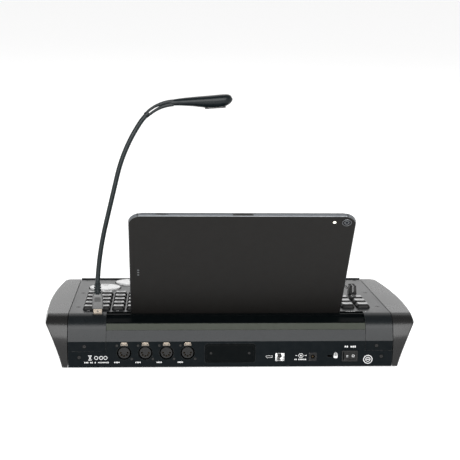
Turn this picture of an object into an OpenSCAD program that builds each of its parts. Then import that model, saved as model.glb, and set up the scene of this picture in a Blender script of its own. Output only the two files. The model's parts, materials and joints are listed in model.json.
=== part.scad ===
// Lighting control desk: a sloped metal housing between two moulded side cheeks, with key pads,
// long faders and encoder wheels on its deck, sockets on its rear panel, a dock that holds a
// tablet, and a gooseneck lamp that plugs into the deck.
// +X is the operator's left, +Y points from the rear panel to the operator, +Z is up. The modules
// are built from the middle of the rear panel's lower edge, on its outer face. The last lines move
// them so that the origin is on the floor, under the middle of the whole.

/* [Housing] */
// Width of the metalwork between the cheeks
body_w = 432.5; // [431:0.5:434]
// Distance from the rear panel to the front face
body_d = 281.8; // [279:0.1:284]
// Distance of the crest, where the deck starts, from the rear panel
crest_y = 30.8; // [30.4:0.1:31.2]
// Height of the crest
crest_z = 65.5; // [65:0.1:66]
// Slope of the deck, down towards the operator
deck_slope = 7.14; // [7:0.01:7.3]
// Lean of the facet above the rear panel, from upright
facet_lean = 22.1; // [21.5:0.1:22.5]
// Radius that joins the facet to the deck
crest_r = 23.5; // [23:0.1:24]
// Thickness of the sheet metal
sheet_t = 1.5; // [1.2:0.1:1.6]

/* [Cheeks] */
// Radius of the cheeks' bowed outline, seen from above
bow_r = 1220; // [1150:10:1300]
// Half of the width at the cheeks' upper edges
half_w = 247.4; // [246:0.1:248]
// Height of the band below the deck, down to the widest line
band_h = 10; // [9:0.5:12]
// Outward lean of the band, over its height
band_out = 3.5; // [2:0.5:4]
// Inward draw of the hollowed flank at the rear
flank_in = 19.6; // [18:0.1:21]
// Radius of the hollowed flank
flank_r = 258; // [220:1:320]
// Place along the deck where the cheeks are widest
bow_along = 100; // [90:1:110]
// Wall thickness of a cheek
cheek_wall = 3; // [2.5:0.1:3.2]

/* [Dock] */
// Lean of the docked tablet, from upright
tablet_lean = 33.3; // [33:0.1:34]
// Width of a 12.9-inch class tablet, lying on its long side
tablet_w = 280.6; // [270:0.1:282]
// Height of the tablet along its face
tablet_h = 214.9; // [205:0.1:216]
// Thickness of the tablet
tablet_t = 5.9; // [5.6:0.1:6]
// Sideways place of the tablet's centre
tablet_x = 7; // [4:0.5:10]
// Depth of the tablet in its slot
slot_depth = 24.5; // [23:0.1:25]

/* [Controls] */
// Spacing of the fader columns and large keys
fader_pitch = 21.1; // [20.5:0.1:21.3]
// Travel of a fader
fader_travel = 100; // [95:1:102]
// Columns of small keys
small_cols = 9; // [7:1:9]
// Column spacing of the small keys
small_pitch = 19.5; // [19:0.1:19.8]
// Height of the key caps above the deck
key_h = 5; // [4:0.1:5.5]
// Travel of a key
key_travel = 1.2; // [0.8:0.1:1.2]
// Diameter of an encoder wheel
wheel_d = 45; // [40:1:46]

/* [Lamp] */
// Diameter of the gooseneck
neck_d = 6.4; // [5.6:0.1:6.8]
// Tilt of the whole lamp head, along its length, from upright
head_tilt = 86; // [80:1:88]

/* [Hidden] */
$fn = 48;
eps = 0.01;
gap = 0.1; // between parts that touch

// Colours
paint = [0.16, 0.17, 0.18];
moulding = [0.12, 0.12, 0.13];
gloss_black = [0.05, 0.06, 0.06];
bright_metal = [0.8, 0.78, 0.74];
gold = [0.8, 0.65, 0.3];
board_green = [0.1, 0.3, 0.18];
key_grey = [0.62, 0.63, 0.64];
rubber = [0.07, 0.07, 0.07];

// Housing section, in the plane of Y and Z
round_mid = [crest_y - crest_r * sin(deck_slope), crest_z - crest_r * cos(deck_slope)];
cheek_x = body_w / 2;
metal_x = cheek_x - 0.9;
seam_left = 179.2; // ends of the dock, on the operator's left and right
seam_right = -165.5;
flap_z = 22.6; // lower edge of the cover's corner flaps
seam_gap = 0.5; // between the tray and the flaps
lip_t = 2.4; // lip along the deck's front edge
lip_h = 1.8;
facet_z = round_mid.y + crest_r * sin(facet_lean)
    - (round_mid.x - crest_r * cos(facet_lean)) / tan(facet_lean);

// A point a distance up the facet, and a depth behind its face
function facet(up, depth = 0) = [
    up * sin(facet_lean) + depth * cos(facet_lean),
    facet_z + up * cos(facet_lean) - depth * sin(facet_lean)
];
// A point a distance along the deck, and a height over it
function on_deck(along, height = 0) = [
    crest_y + along * cos(deck_slope) + height * sin(deck_slope),
    crest_z - along * sin(deck_slope) + height * cos(deck_slope)
];
// The tablet's rear lower corner, found from where its back crosses the crest's level
tablet_foot = [
    28.15 + slot_depth * sin(tablet_lean) - 1.25,
    crest_z + 1.9 - slot_depth * cos(tablet_lean)
];
// A point up the tablet's back, and a distance in front of it
function on_tablet(up, front = 0) = [
    tablet_foot.x - up * sin(tablet_lean) + front * cos(tablet_lean),
    tablet_foot.y + up * cos(tablet_lean) + front * sin(tablet_lean)
];

// Dock
strip_low = 15; // the trim strip's edges, up the facet
strip_high = 24;
strip_t = 1.2;
dock_edge = 8; // where the deck starts in front of the dock
slot_gap = 0.9; // room for a pad on each side of the tablet
pad_t = 0.8;
dock_wall = 2.5;
shelf_t = 2;

// Rear panel
xlr_pitch = 27.9;
xlr_x = [for (i = [0:3]) -141.6 + i * xlr_pitch];
xlr_z = 20;
xlr_insert_r = 7.55;
xlr_bore_r = 9.2;
xlr_hole_r = 9.8;
xlr_depth = 20;
latch_w = 9.4;
latch_low = 30.2;
latch_high = 34.8;
xlr_screw_at = [[-9.5, 10.4], [10, -8.4]];
cover_x = -1.5;
cover_z = 19.15;
cover_size = [67.4, 26.9];
plate_size = [62, 22];
plate_screw_x = 25.4;
usb_c_at = [50.7, 14.1];
usb_c_size = [9, 3.2];
usb_b_at = [64.9, 13.5];
usb_b_size = [12, 11];
dc_at = [108.9, 13.6];
dc_size = [10, 11];
dc_hole_r = 3.1;
lock_at = [131.6, 14.7];
lock_size = [7, 3];
switch_at = [158.2, 15];
bezel_size = [21, 15];
rocker_size = [16.6, 11.4];
rocker_pivot_y = 4;
rocker_tilt = 7;
cheek_screw_at = [200.8, 14]; // through the rear panel into each cheek
flap_screw_at = [193.8, 29.2]; // through each corner flap
rear_screws = [for (side = [-1, 1], p = [flap_screw_at, cheek_screw_at]) [side * p.x, p.y]];

// Deck, as places along it from the crest
deck_screw_x = 205.5;
deck_screw_along = [39, 140, 240];
board_low = -11.6;
board_top = -10;
board_rear = 19.8;
board_front = 247;
board_edge_x = 199.5;
board_split_x = -18;
small_key = [17.4, 15.4, 13.1, 12.2];
large_key = [18.2, 20, 13.6, 15.4];
small_x = [for (i = [0:small_cols - 1]) -189.7 + i * small_pitch];
small_along = [for (i = [0:4]) 27 + i * 25];
column_x = [for (i = [0:9]) 184.4 - i * fader_pitch];
large_along = [for (i = [0:2]) 38.5 + i * 26];
key_gap = 0.3;
flange_t = 1;
flange_out = 1.4;
key_foot = 1.8; // height of a cap's upright foot
switch_top = board_top + 3;
fader_rear = 130;
slot_w = 3.2;
wheel_gap = 1.5;
wheel_top = 2.2;
wheel_low = -5;
wheel_at = [[-176, 180], [-139, 222], [-79, 222], [-42, 180]];
shaft_r = 3;

// Lamp, upwards from the deck
lamp_x = -177.4;
lamp_along = 3.2;
plug_size = [12, 4.5];
plug_in = 6.6;
plug_out = 5.6;
grip_h = 20.7;
relief_h = 13;
pivot_h = plug_out + grip_h + relief_h + 1.5;
ball_r = neck_d / 2 + 0.2; // of the joints that stand in for the neck's bending
neck_start = 3; // lean where the neck leaves the grip
neck_lean = 13.3;
lower_len = 78;
middle_len = 67;
upper_len = 76;
upper_bend = 20;
crook_len = 17;
crook_bend = 15;
fork_len = 36;
head_len = 80;
paddle_roll = 16;
prong_x = 2.6;
prong_t = 3.4;
prong_w = 7;

// Tablet
tablet_corner = 18;
glass_t = 0.7;
camera_at = [11.9, 11];
flash_in = 27;
button_x = -92.3;
button_len = 14.6;

// ---- shared shapes

// Sweeps a side section, drawn in Y and Z, from one X to another
module across(from_x, to_x) {
    translate([from_x, 0, 0])
        rotate([90, 0, 90])
            linear_extrude(to_x - from_x) children();
}

// Puts children on the deck: X as it is, Y along the deck, Z out of it
module at_deck(x, along) {
    p = on_deck(along);
    translate([x, p.x, p.y]) rotate([-deck_slope, 0, 0]) children();
}

// Puts children on the rear panel: X as it is, Y up, Z out of the panel
module at_rear(x, z) {
    translate([x, 0, z]) rotate([90, 0, 0]) children();
}

// Puts children on the tablet's back: X as it is, Y up its back, Z out of its glass
module at_tablet() {
    translate([tablet_x, tablet_foot.x, tablet_foot.y])
        rotate([90 + tablet_lean, 0, 0]) mirror([0, 0, 1]) children();
}

// A slot with round ends
module slot_2d(width, length) {
    square([width, length - width], center = true);
    for (end = [-1, 1]) translate([0, end * (length - width) / 2]) circle(width / 2);
}

module round_rect(size, r) {
    square([size.x, size.y - 2 * r], center = true);
    square([size.x - 2 * r, size.y], center = true);
    for (sx = [-1, 1], sy = [-1, 1])
        translate([sx * (size.x / 2 - r), sy * (size.y / 2 - r)]) circle(r);
}

module slab(size, low, high) {
    translate([-size.x / 2, -size.y / 2, low]) cube([size.x, size.y, high - low]);
}

// The side section of the housing
module side_section() {
    polygon([
        [0, 0],
        [0, facet_z],
        round_mid + crest_r * [-cos(facet_lean), sin(facet_lean)],
        round_mid,
        [crest_y, crest_z],
        [body_d, crest_z - (body_d - crest_y) * tan(deck_slope)],
        [body_d, 0]
    ]);
    translate(round_mid) circle(crest_r, $fn = 96);
}

// The same section drawn a wall's thickness inside it, with its arc in short flats
module flat_section(inset = 0, steps = 24) {
    r = crest_r - inset;
    rise = round_mid + r * [-cos(facet_lean), sin(facet_lean)];
    crest = round_mid + r * [sin(deck_slope), cos(deck_slope)];
    front = body_d - inset;
    turn = 90 - facet_lean + deck_slope;
    polygon(concat(
        [[inset, inset], [inset, rise.y - (rise.x - inset) / tan(facet_lean)]],
        [for (i = [0:steps]) let (a = 180 - facet_lean - turn * i / steps)
            round_mid + r * [cos(a), sin(a)]],
        [[front, crest.y - (front - crest.x) * tan(deck_slope)], [front, inset]]
    ));
}

module skin_section() {
    difference() {
        side_section();
        flat_section(sheet_t, 10);
    }
}

module screw(length, head_r = 2.75, r = 1.5, head_h = 1.6) {
    difference() {
        union() {
            translate([0, 0, -head_h]) cylinder(head_h, r, head_r);
            translate([0, 0, -length]) cylinder(length - head_h + eps, r = r);
        }
        translate([0, 0, -head_h * 0.75]) cylinder(head_h, r = head_r * 0.42, $fn = 6);
    }
}

module screw_hole(length, head_r = 2.75, r = 1.5, head_h = 1.6) {
    translate([0, 0, -head_h - gap]) cylinder(head_h + gap, r + gap / 2, head_r + gap);
    translate([0, 0, -gap]) cylinder(1, r = head_r + gap);
    translate([0, 0, -length - 1]) cylinder(length + 1, r = r + gap / 2);
}

// ---- case

module rear_openings() {
    for (x = xlr_x) at_rear(x, xlr_z) {
        translate([0, 0, -5]) cylinder(10, r = xlr_hole_r);
        for (s = xlr_screw_at) translate([s.x, s.y, 0]) screw_hole(6, 2.1, 1.2, 1);
    }
    for (x = xlr_x) at_rear(x, (latch_low + latch_high) / 2)
        slab([latch_w + 0.6, latch_high - latch_low + 0.6], -5, 5);
    at_rear(cover_x, cover_z) translate([0, 0, -5]) linear_extrude(10)
        round_rect(cover_size + [0.2, 0.2], 4.1);
    at_rear(usb_c_at.x, usb_c_at.y) translate([0, 0, -5]) linear_extrude(10)
        round_rect(usb_c_size + [0.4, 0.4], 1.75);
    at_rear(usb_b_at.x, usb_b_at.y) slab(usb_b_size + [0.4, 0.4], -5, 5);
    at_rear(dc_at.x, dc_at.y) slab(dc_size + [0.2, 0.2], -5, 5);
    at_rear(lock_at.x, lock_at.y) translate([0, 0, -5]) linear_extrude(10)
        round_rect(lock_size, 1.2);
    at_rear(switch_at.x, switch_at.y) slab([19.4, 13.4], -5, 5);
}

foot_at = [for (x = [-185, 185], y = [30, 250]) [x, y]];
main_posts = [for (x = [-172, 108], y = [32, 86]) [x, y]];

module lower_tray() {
    color(paint) difference() {
        union() {
            across(-metal_x, metal_x) {
                intersection() {
                    skin_section();
                    // up to the trim strip, square to the facet
                    polygon([
                        [0, 0],
                        [20, 0],
                        facet(strip_low - gap, 12),
                        facet(strip_low - gap, -1),
                        [-1, facet_z],
                        [-1, 0]
                    ]);
                }
                square([body_d - sheet_t - gap, sheet_t]);
            }
            // upright lip along the front
            translate([-metal_x, body_d - 2 * sheet_t - gap, sheet_t - eps])
                cube([2 * metal_x, sheet_t, 14]);
            for (p = main_posts) translate([p.x, p.y, sheet_t - eps]) cylinder(4.5 + eps, r = 3);
            // brackets that hold the corner flaps
            for (side = [-1, 1]) translate([side * 192.5 - 19, sheet_t - eps, 8])
                cube([38, sheet_t, flap_z - gap - 8 + eps]);
        }
        // corners that the cover's flaps fill
        translate([seam_left - seam_gap, -1, flap_z - seam_gap]) cube([100, 30, 60]);
        translate([seam_right + seam_gap - 100, -1, flap_z - seam_gap]) cube([100, 30, 60]);
        rear_openings();
        for (p = rear_screws) at_rear(p.x, p.y) screw_hole(12);
        for (p = foot_at) translate([p.x, p.y, -1]) cylinder(4, r = 1.6);
        for (p = main_posts) translate([p.x, p.y, sheet_t]) cylinder(6, r = 1.3);
    }
    // their upper ends, behind the flaps
    color(paint) for (side = [-1, 1]) difference() {
        translate([side * 192.5 - 19, sheet_t + gap, flap_z - gap - 2])
            cube([38, sheet_t - gap, 33 - flap_z + 2]);
        for (p = rear_screws) at_rear(p.x, p.y) translate([0, 0, -20]) cylinder(40, r = 1.55);
    }
}

module deck_windows() {
    for (x = small_x, a = small_along) at_deck(x, a)
        slab([small_key[0] + 2 * key_gap, small_key[1] + 2 * key_gap], -4, 2);
    for (x = column_x, a = large_along) at_deck(x, a)
        slab([large_key[0] + 2 * key_gap, large_key[1] + 2 * key_gap], -4, 2);
    for (x = column_x) at_deck(x, fader_rear + fader_travel / 2)
        translate([0, 0, -4]) linear_extrude(6) slot_2d(slot_w, fader_travel + 8);
    for (p = wheel_at) at_deck(p.x, p.y)
        translate([0, 0, -4]) cylinder(6, r = wheel_d / 2 + wheel_gap, $fn = 96);
    at_deck(lamp_x, lamp_along) slab(plug_size + [1, 0.8], -4, 3);
}

board_posts = concat(
    [for (x = [-196, -24.5], a = [64.5, 160]) [x, a]],
    [for (x = [-13, 195.5], a = [108, 160]) [x, a]]
);

module top_cover() {
    color(paint) difference() {
        union() {
            across(-metal_x, metal_x) difference() {
                skin_section();
                translate([-1, -1]) square([100, flap_z + 1]);
                translate([-1, -1]) square([body_d + 2, sheet_t + 1 + gap]);
            }
            // lip along the deck's front edge
            across(-metal_x, metal_x) polygon([
                [body_d - lip_t, deck_z(body_d) - 1],
                [body_d, deck_z(body_d) - 1],
                [body_d, deck_z(body_d) + lip_h],
                [body_d - lip_t, deck_z(body_d) + lip_h]
            ]);
            for (p = board_posts) at_deck(p.x, p.y)
                translate([0, 0, board_top]) cylinder(-board_top - 1, r = 2.2);
        }
        // opening for the dock
        translate([seam_right, -1, flap_z - 1])
            cube([seam_left - seam_right, on_deck(dock_edge).x + 1, 60]);
        deck_windows();
        for (side = [-1, 1], a = deck_screw_along) at_deck(side * deck_screw_x, a) screw_hole(10);
        for (p = rear_screws) at_rear(p.x, p.y) screw_hole(12);
        for (p = board_posts) at_deck(p.x, p.y)
            translate([0, 0, board_top - 1]) cylinder(7, r = 1.25);
    }
}

// The outside of the cheeks: a bowed band over a hollowed flank, skinned over stations
// along the depth
flank_steps = 5;
stations = 12;
function bow(y) = half_w - bow_r + sqrt(bow_r * bow_r - pow(y - crest_y - bow_along, 2));
function deck_z(y) = crest_z - (y - crest_y) * tan(deck_slope);
function flank_x(drop) = let (full = crest_z - band_h, sag = full * full / (8 * flank_r))
    flank_in * drop / full + 4 * sag * (drop / full) * (1 - drop / full);
flank_reach = 65;
function cheek_outline(y) = let (top = deck_z(y) + 5) concat(
    [[cheek_x - 10, y, top], [bow(y) - 5 * band_out / band_h, y, top]],
    [for (i = [0:flank_steps]) let (drop = flank_reach * i / flank_steps)
        [bow(y) + band_out - flank_x(drop), y, deck_z(y) - band_h - drop]],
    [[cheek_x - 10, y, deck_z(y) - band_h - flank_reach]]
);

module bowed_block() {
    n = flank_steps + 4;
    points = [for (i = [0:stations], p = cheek_outline(-5 + i * (body_d + 10) / stations)) p];
    polyhedron(points, concat(
        [[for (j = [0:n - 1]) j]],
        [for (i = [0:stations - 1], j = [0:n - 1]) let (k = (j + 1) % n)
            [i * n + j, (i + 1) * n + j, (i + 1) * n + k, i * n + k]],
        [[for (j = [0:n - 1]) stations * n + n - 1 - j]]
    ));
}

// The room inside a cheek, open towards the metalwork
module cheek_room() {
    intersection() {
        across(cheek_x - 1, 260) flat_section(cheek_wall);
        at_deck(0, 0) rotate([90, 0, 0]) translate([0, 0, -400]) linear_extrude(800) polygon([
            [cheek_x - 2, -2],
            [231, -2],
            [231, -band_h],
            [226.5, -34],
            [219, -58],
            [219, -90],
            [cheek_x - 2, -90]
        ]);
    }
}

module left_cheek_shape() {
    difference() {
        union() {
            difference() {
                intersection() {
                    across(cheek_x, 260) flat_section();
                    bowed_block();
                }
                cheek_room();
            }
            // tabs under the cover that take its screws
            for (a = deck_screw_along) at_deck(deck_screw_x, a) {
                translate([0, 0, -10]) cylinder(10 - sheet_t - gap, r = 4);
                translate([0, -2, -8]) cube([cheek_x + cheek_wall - deck_screw_x + 6, 4, 6]);
            }
            // tab behind the rear panel
            translate([cheek_screw_at.x, 2 * sheet_t + gap, cheek_screw_at.y]) {
                rotate([-90, 0, 0]) cylinder(9, r = 4);
                translate([0, 1, -2]) cube([24, 6, 4]);
            }
        }
        for (a = deck_screw_along) at_deck(deck_screw_x, a)
            translate([0, 0, -14]) cylinder(14, r = 1.55);
        translate([cheek_screw_at.x, 0, cheek_screw_at.y]) rotate([-90, 0, 0])
            cylinder(20, r = 1.55);
    }
}

module left_cheek() {
    color(moulding) left_cheek_shape();
}

module right_cheek() {
    color(moulding) mirror([1, 0, 0]) left_cheek_shape();
}

module case_screws() {
    color(bright_metal * 0.3) {
        for (side = [-1, 1], a = deck_screw_along) at_deck(side * deck_screw_x, a) screw(9);
        for (p = rear_screws) at_rear(p.x, p.y) screw(10);
        for (p = foot_at) translate([p.x, p.y, -2.6]) rotate([180, 0, 0]) screw(6);
    }
}

module feet() {
    color(rubber) for (p = foot_at) translate([p.x, p.y, -foot_h]) difference() {
        cylinder(foot_h, r = 9);
        translate([0, 0, -1]) cylinder(3.1, r = 3.2);
        translate([0, 0, -1]) cylinder(5, r = 1.6);
    }
}

// ---- dock

module tablet_slot_2d(up_from, front_from, up_to, front_to) {
    polygon([
        on_tablet(up_from, front_from),
        on_tablet(up_to, front_from),
        on_tablet(up_to, front_to),
        on_tablet(up_from, front_to)
    ]);
}

slot_low = -slot_gap;
shelf_end_up = 21;

module dock_section() {
    difference() {
        intersection() {
            side_section();
            union() {
                // shelf, with the backing of the trim strip
                polygon([
                    facet(strip_low, strip_t),
                    facet(strip_high, strip_t),
                    facet(strip_high),
                    on_tablet(shelf_end_up, -slot_gap - 1),
                    on_tablet(shelf_end_up - shelf_t, -slot_gap - 1),
                    facet(strip_high, strip_t) + [shelf_t, -shelf_t],
                    facet(strip_low, strip_t + shelf_t)
                ]);
                // channel around the tablet's lower edge
                tablet_slot_2d(slot_low - dock_wall, -slot_gap - dock_wall,
                    slot_depth + 6, tablet_t + slot_gap + dock_wall);
                // rim up to the deck, and flange below it
                polygon([
                    on_tablet(8, tablet_t + slot_gap + 1),
                    on_deck(dock_edge - 2, -8),
                    on_deck(dock_edge + 5, -sheet_t - gap - 2),
                    on_deck(dock_edge + 5, -sheet_t - gap),
                    on_deck(dock_edge - 0.2, -sheet_t - gap),
                    on_deck(dock_edge - 0.2, 0),
                    on_deck(2, 0)
                ]);
            }
        }
        tablet_slot_2d(slot_low, -slot_gap, slot_depth + 20, tablet_t + slot_gap);
        // room for the deck's sheet in front of the opening
        polygon([
            on_deck(dock_edge - 0.2, 1),
            on_deck(dock_edge - 0.2, -sheet_t - gap),
            on_deck(dock_edge + 12, -sheet_t - gap),
            on_deck(dock_edge + 12, 1)
        ]);
    }
}

module tablet_dock() {
    color(gloss_black) {
        across(seam_right + 0.3, seam_left - 0.3) dock_section();
        // ends that close the dock below the shelf
        for (x = [seam_right + 0.3, seam_left - 2.3]) across(x, x + 2) polygon([
            facet(strip_low, strip_t),
            facet(strip_high, strip_t),
            on_tablet(shelf_end_up - 1, -slot_gap - 1),
            on_tablet(slot_low - 1, -slot_gap - 1)
        ]);
    }
}

module dock_pads() {
    color(rubber) {
        for (x = [tablet_x - 95, tablet_x + 95]) {
            across(x - 30, x + 30) {
                tablet_slot_2d(2, -slot_gap + eps, 19, -slot_gap + pad_t);
                tablet_slot_2d(2, tablet_t + slot_gap - pad_t, 13, tablet_t + slot_gap - eps);
                tablet_slot_2d(slot_low + eps, 0.4, slot_low + pad_t, tablet_t - 0.4);
            }
        }
    }
}

module rear_trim_strip() {
    color([0.3, 0.32, 0.29]) across(seam_right + 0.3, seam_left - 0.3) polygon([
        facet(strip_low),
        facet(strip_high - gap),
        facet(strip_high - gap, strip_t - gap / 2),
        facet(strip_low, strip_t - gap / 2)
    ]);
}

// ---- rear panel

module xlr_shells() {
    color(gloss_black) for (x = xlr_x) at_rear(x, xlr_z) difference() {
        union() {
            translate([0, 0, -sheet_t - gap]) cylinder(sheet_t, r = xlr_hole_r - gap);
            translate([-12.8, 7.8 - xlr_z, -xlr_depth]) cube([25.6, 27.6, xlr_depth - sheet_t - gap]);
        }
        translate([0, 0, -xlr_depth + 3]) cylinder(xlr_depth, r = xlr_bore_r);
        translate([-latch_w / 2 - 0.2, latch_low - 0.2 - xlr_z, -xlr_depth + 3])
            cube([latch_w + 0.4, latch_high - latch_low + 0.4, 30]);
        for (s = xlr_screw_at) translate([s.x, s.y, -8]) cylinder(10, r = 1.25);
    }
}

xlr_contact_r = 4.6;
function xlr_contact(i) = xlr_contact_r * [cos(180 + 45 * i), sin(180 + 45 * i)];

module xlr_inserts() {
    color(gloss_black) for (x = xlr_x) at_rear(x, xlr_z) difference() {
        translate([0, 0, -xlr_depth + 3 + gap]) cylinder(xlr_depth - 3 - gap - 0.6, r = xlr_insert_r);
        for (i = [0:4]) translate(xlr_contact(i)) translate([0, 0, -16]) cylinder(20, r = 1.35);
    }
}

module contact_pins() {
    color(gold) {
        for (x = xlr_x) at_rear(x, xlr_z) for (i = [0:4])
            translate(xlr_contact(i)) translate([0, 0, -15.9]) difference() {
                cylinder(13.4, r = 1.3);
                translate([0, 0, 3]) cylinder(12, r = 0.85);
            }
        at_rear(dc_at.x, dc_at.y) translate([0, 0, -9.9]) cylinder(8.5, r = 1.05);
    }
}

module xlr_latches() {
    color(bright_metal) for (x = xlr_x) at_rear(x, (latch_low + latch_high) / 2) {
        slab([latch_w, latch_high - latch_low], -9, 1.4);
        translate([0, 0, 1.4]) rotate([0, 90, 0])
            translate([0, 0, -latch_w / 2]) cylinder(latch_w, r = 0.7);
    }
}

module panel_screws() {
    color(bright_metal * 0.5) {
        for (x = xlr_x, s = xlr_screw_at) at_rear(x + s.x, xlr_z + s.y) screw(6, 2.1, 1.2, 1);
        for (side = [-1, 1]) at_rear(cover_x + side * plate_screw_x, cover_z)
            translate([0, 0, -0.3]) screw(5, 2.1, 1.2, 1);
    }
}

module port_cover() {
    color(gloss_black) at_rear(cover_x, cover_z) {
        difference() {
            translate([0, 0, -4]) linear_extrude(4) round_rect(cover_size, 4);
            translate([0, 0, -1.5]) linear_extrude(3) round_rect(plate_size + [0.4, 0.4], 2.7);
            for (side = [-1, 1]) translate([side * plate_screw_x, 0, -5.5]) cylinder(8, r = 1.25);
        }
        difference() {
            translate([0, 0, -1.4]) linear_extrude(1.1) round_rect(plate_size, 2.5);
            for (side = [-1, 1]) translate([side * plate_screw_x, 0, -0.3])
                screw_hole(5, 2.1, 1.2, 1);
        }
    }
}

socket_wall = 0.4;

module port_shells() {
    color(bright_metal) {
        at_rear(usb_b_at.x, usb_b_at.y) difference() {
            slab(usb_b_size, -14, -0.3);
            slab(usb_b_size - 2 * [socket_wall, socket_wall], -13.6, 2);
        }
        at_rear(usb_c_at.x, usb_c_at.y) difference() {
            translate([0, 0, -8]) linear_extrude(7.8) round_rect(usb_c_size, 1.55);
            translate([0, 0, -7.6]) linear_extrude(9)
                round_rect(usb_c_size - [0.7, 0.7], 1.2);
        }
        at_deck(lamp_x, lamp_along) difference() {
            slab(plug_size + [1, 1], board_top + 0.1, -sheet_t - 0.1);
            slab(plug_size + [0.3, 0.3], board_top + 0.5, 2);
        }
    }
}

module port_inserts() {
    color(gloss_black) {
        at_rear(usb_b_at.x, usb_b_at.y) slab([5.6, 3.2], -13.5, -2);
        at_rear(usb_c_at.x, usb_c_at.y) slab([6.7, 0.7], -7.5, -1.2);
        // block that lifts the small socket off its board
        translate([usb_c_at.x - 4.4, 1.7, 7.7]) cube([8.8, 6, usb_c_at.y - usb_c_size.y / 2 - 7.8]);
        at_deck(lamp_x, lamp_along) translate([0, 1, 0]) slab([11, 1.6], board_top + 0.6, -2);
        at_rear(dc_at.x, dc_at.y) difference() {
            slab(dc_size, -12, -0.2);
            translate([0, 0, -10]) cylinder(12, r = dc_hole_r);
        }
    }
}

module switch_body() {
    color(gloss_black) at_rear(switch_at.x, switch_at.y) difference() {
        union() {
            linear_extrude(1.6) round_rect(bezel_size, 1.2);
            slab([19.2, 13.2], -14, eps);
        }
        slab(rocker_size + [1.4, 0.6], -12.5, 3);
    }
}

module switch_rocker() {
    half = rocker_size.x / 2;
    color(gloss_black) translate([switch_at.x, rocker_pivot_y, switch_at.y - rocker_size.y / 2])
        rotate([0, 0, rocker_tilt]) linear_extrude(rocker_size.y) polygon([
            [-half, -6],
            [0, -4.4],
            [half, -6],
            [half, -2.5],
            [4, 2.5],
            [-4, 2.5],
            [-half, -2.5]
        ]);
}

// ---- boards and what they carry

module main_board() {
    color(board_green) {
        difference() {
            translate([-180, 4.6, 6]) cube([296, 87, 1.6]);
            for (p = main_posts) translate([p.x, p.y, 4]) cylinder(6, r = 1.6);
        }
    }
    color(gloss_black) {
        for (x = [-60, -20, 20], y = [48, 70]) translate([x, y, 7.6 + eps]) cube([12, 12, 1.4]);
        translate([70, 44, 7.6 + eps]) cube([24, 24, 1.8]);
    }
}

module deck_board(from_x, to_x) {
    difference() {
        p = on_deck(0);
        translate([0, p.x, p.y]) rotate([-deck_slope, 0, 0])
            translate([from_x, board_rear, board_low])
                cube([to_x - from_x, board_front - board_rear, board_top - board_low]);
        for (p = board_posts) at_deck(p.x, p.y) translate([0, 0, -14]) cylinder(10, r = 1.6);
    }
}

module key_board() {
    color(board_green) {
        deck_board(-board_edge_x, board_split_x - 3);
        // tongue under the lamp's socket
        at_deck(lamp_x, 0) translate([-9, -1.5, board_low])
            cube([18, board_rear + 1.5 + eps, board_top - board_low]);
    }
}

module fader_board() {
    color(board_green) deck_board(board_split_x + 3, board_edge_x);
}

fader_body_low = board_top + gap;
fader_body_top = -2.2;
body_len = fader_travel + 28;

module fader_bodies() {
    color(bright_metal) for (x = column_x) at_deck(x, fader_rear + fader_travel / 2) difference() {
        slab([9, body_len], fader_body_low, fader_body_top);
        slab([7.6, body_len - 2], fader_body_low + 0.7, fader_body_top - 0.7);
        slab([slot_w, fader_travel + 8], fader_body_top - 2, 1);
    }
}

module encoder_bodies() {
    color(bright_metal * 0.8) for (p = wheel_at) at_deck(p.x, p.y) difference() {
        slab([13, 13], board_top + gap, wheel_low - 0.5);
        translate([0, 0, board_top + 0.5]) cylinder(10, r = shaft_r + 0.05);
    }
}

module key_switch() {
    slab([6, 6], board_top + gap, switch_top);
    translate([0, 0, switch_top - eps]) cylinder(0.4, r = 1.7);
}

module key_switches() {
    color(gloss_black) {
        for (x = small_x, a = small_along) at_deck(x, a) key_switch();
        for (x = column_x, a = large_along) at_deck(x, a) key_switch();
    }
}

module ribbon_cables() {
    color([0.45, 0.45, 0.47]) for (x = [-115, 40]) {
        // from under the deck boards down to the main board
        translate([x, 80, 7.7]) cube([24, 0.9, on_deck(50).y + board_low - 9]);
        translate([x, 84, 7.7]) cube([24, 5, 4]);
    }
}

module board_screws() {
    color(bright_metal * 0.7) {
        for (p = main_posts) translate([p.x, p.y, 7.6 + gap]) {
            cylinder(1.6, r = 2.4);
            translate([0, 0, -6]) cylinder(6 + eps, r = 1.2);
        }
        for (p = board_posts) at_deck(p.x, p.y) translate([0, 0, board_low - gap]) {
            translate([0, 0, -1.6]) cylinder(1.6, r = 2.4);
            translate([0, 0, -eps]) cylinder(6, r = 1.15);
        }
    }
}

// ---- moving controls

// Side view of a cap: upright at its foot, then sloping in to its top
module cap_side(base, top) {
    polygon([
        [-base / 2, 0],
        [base / 2, 0],
        [base / 2, key_foot],
        [top / 2, key_h],
        [-top / 2, key_h],
        [-base / 2, key_foot]
    ]);
}

// A cap of [base width, base depth, top width, top depth]
module key_cap(size) {
    intersection() {
        translate([0, size[1] / 2, 0]) rotate([90, 0, 0]) linear_extrude(size[1])
            cap_side(size[0], size[2]);
        translate([-size[0] / 2, 0, 0]) rotate([90, 0, 90]) linear_extrude(size[0])
            cap_side(size[1], size[3]);
    }
}

module key(size) {
    flange_top = -sheet_t - 0.05;
    key_cap(size);
    slab([size[0], size[1]], flange_top - eps, eps);
    slab([size[0] + flange_out, size[1] + flange_out], flange_top - flange_t, flange_top);
    translate([0, 0, switch_top + 0.4 + key_travel + 0.1])
        cylinder(flange_top - switch_top - key_travel - 0.6, r = 1.6);
}

module small_key_row(row) {
    color(key_grey) for (x = small_x) at_deck(x, small_along[row]) key(small_key);
}

module large_key_row(row) {
    color(key_grey) for (x = column_x) at_deck(x, large_along[row]) key(large_key);
}

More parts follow.
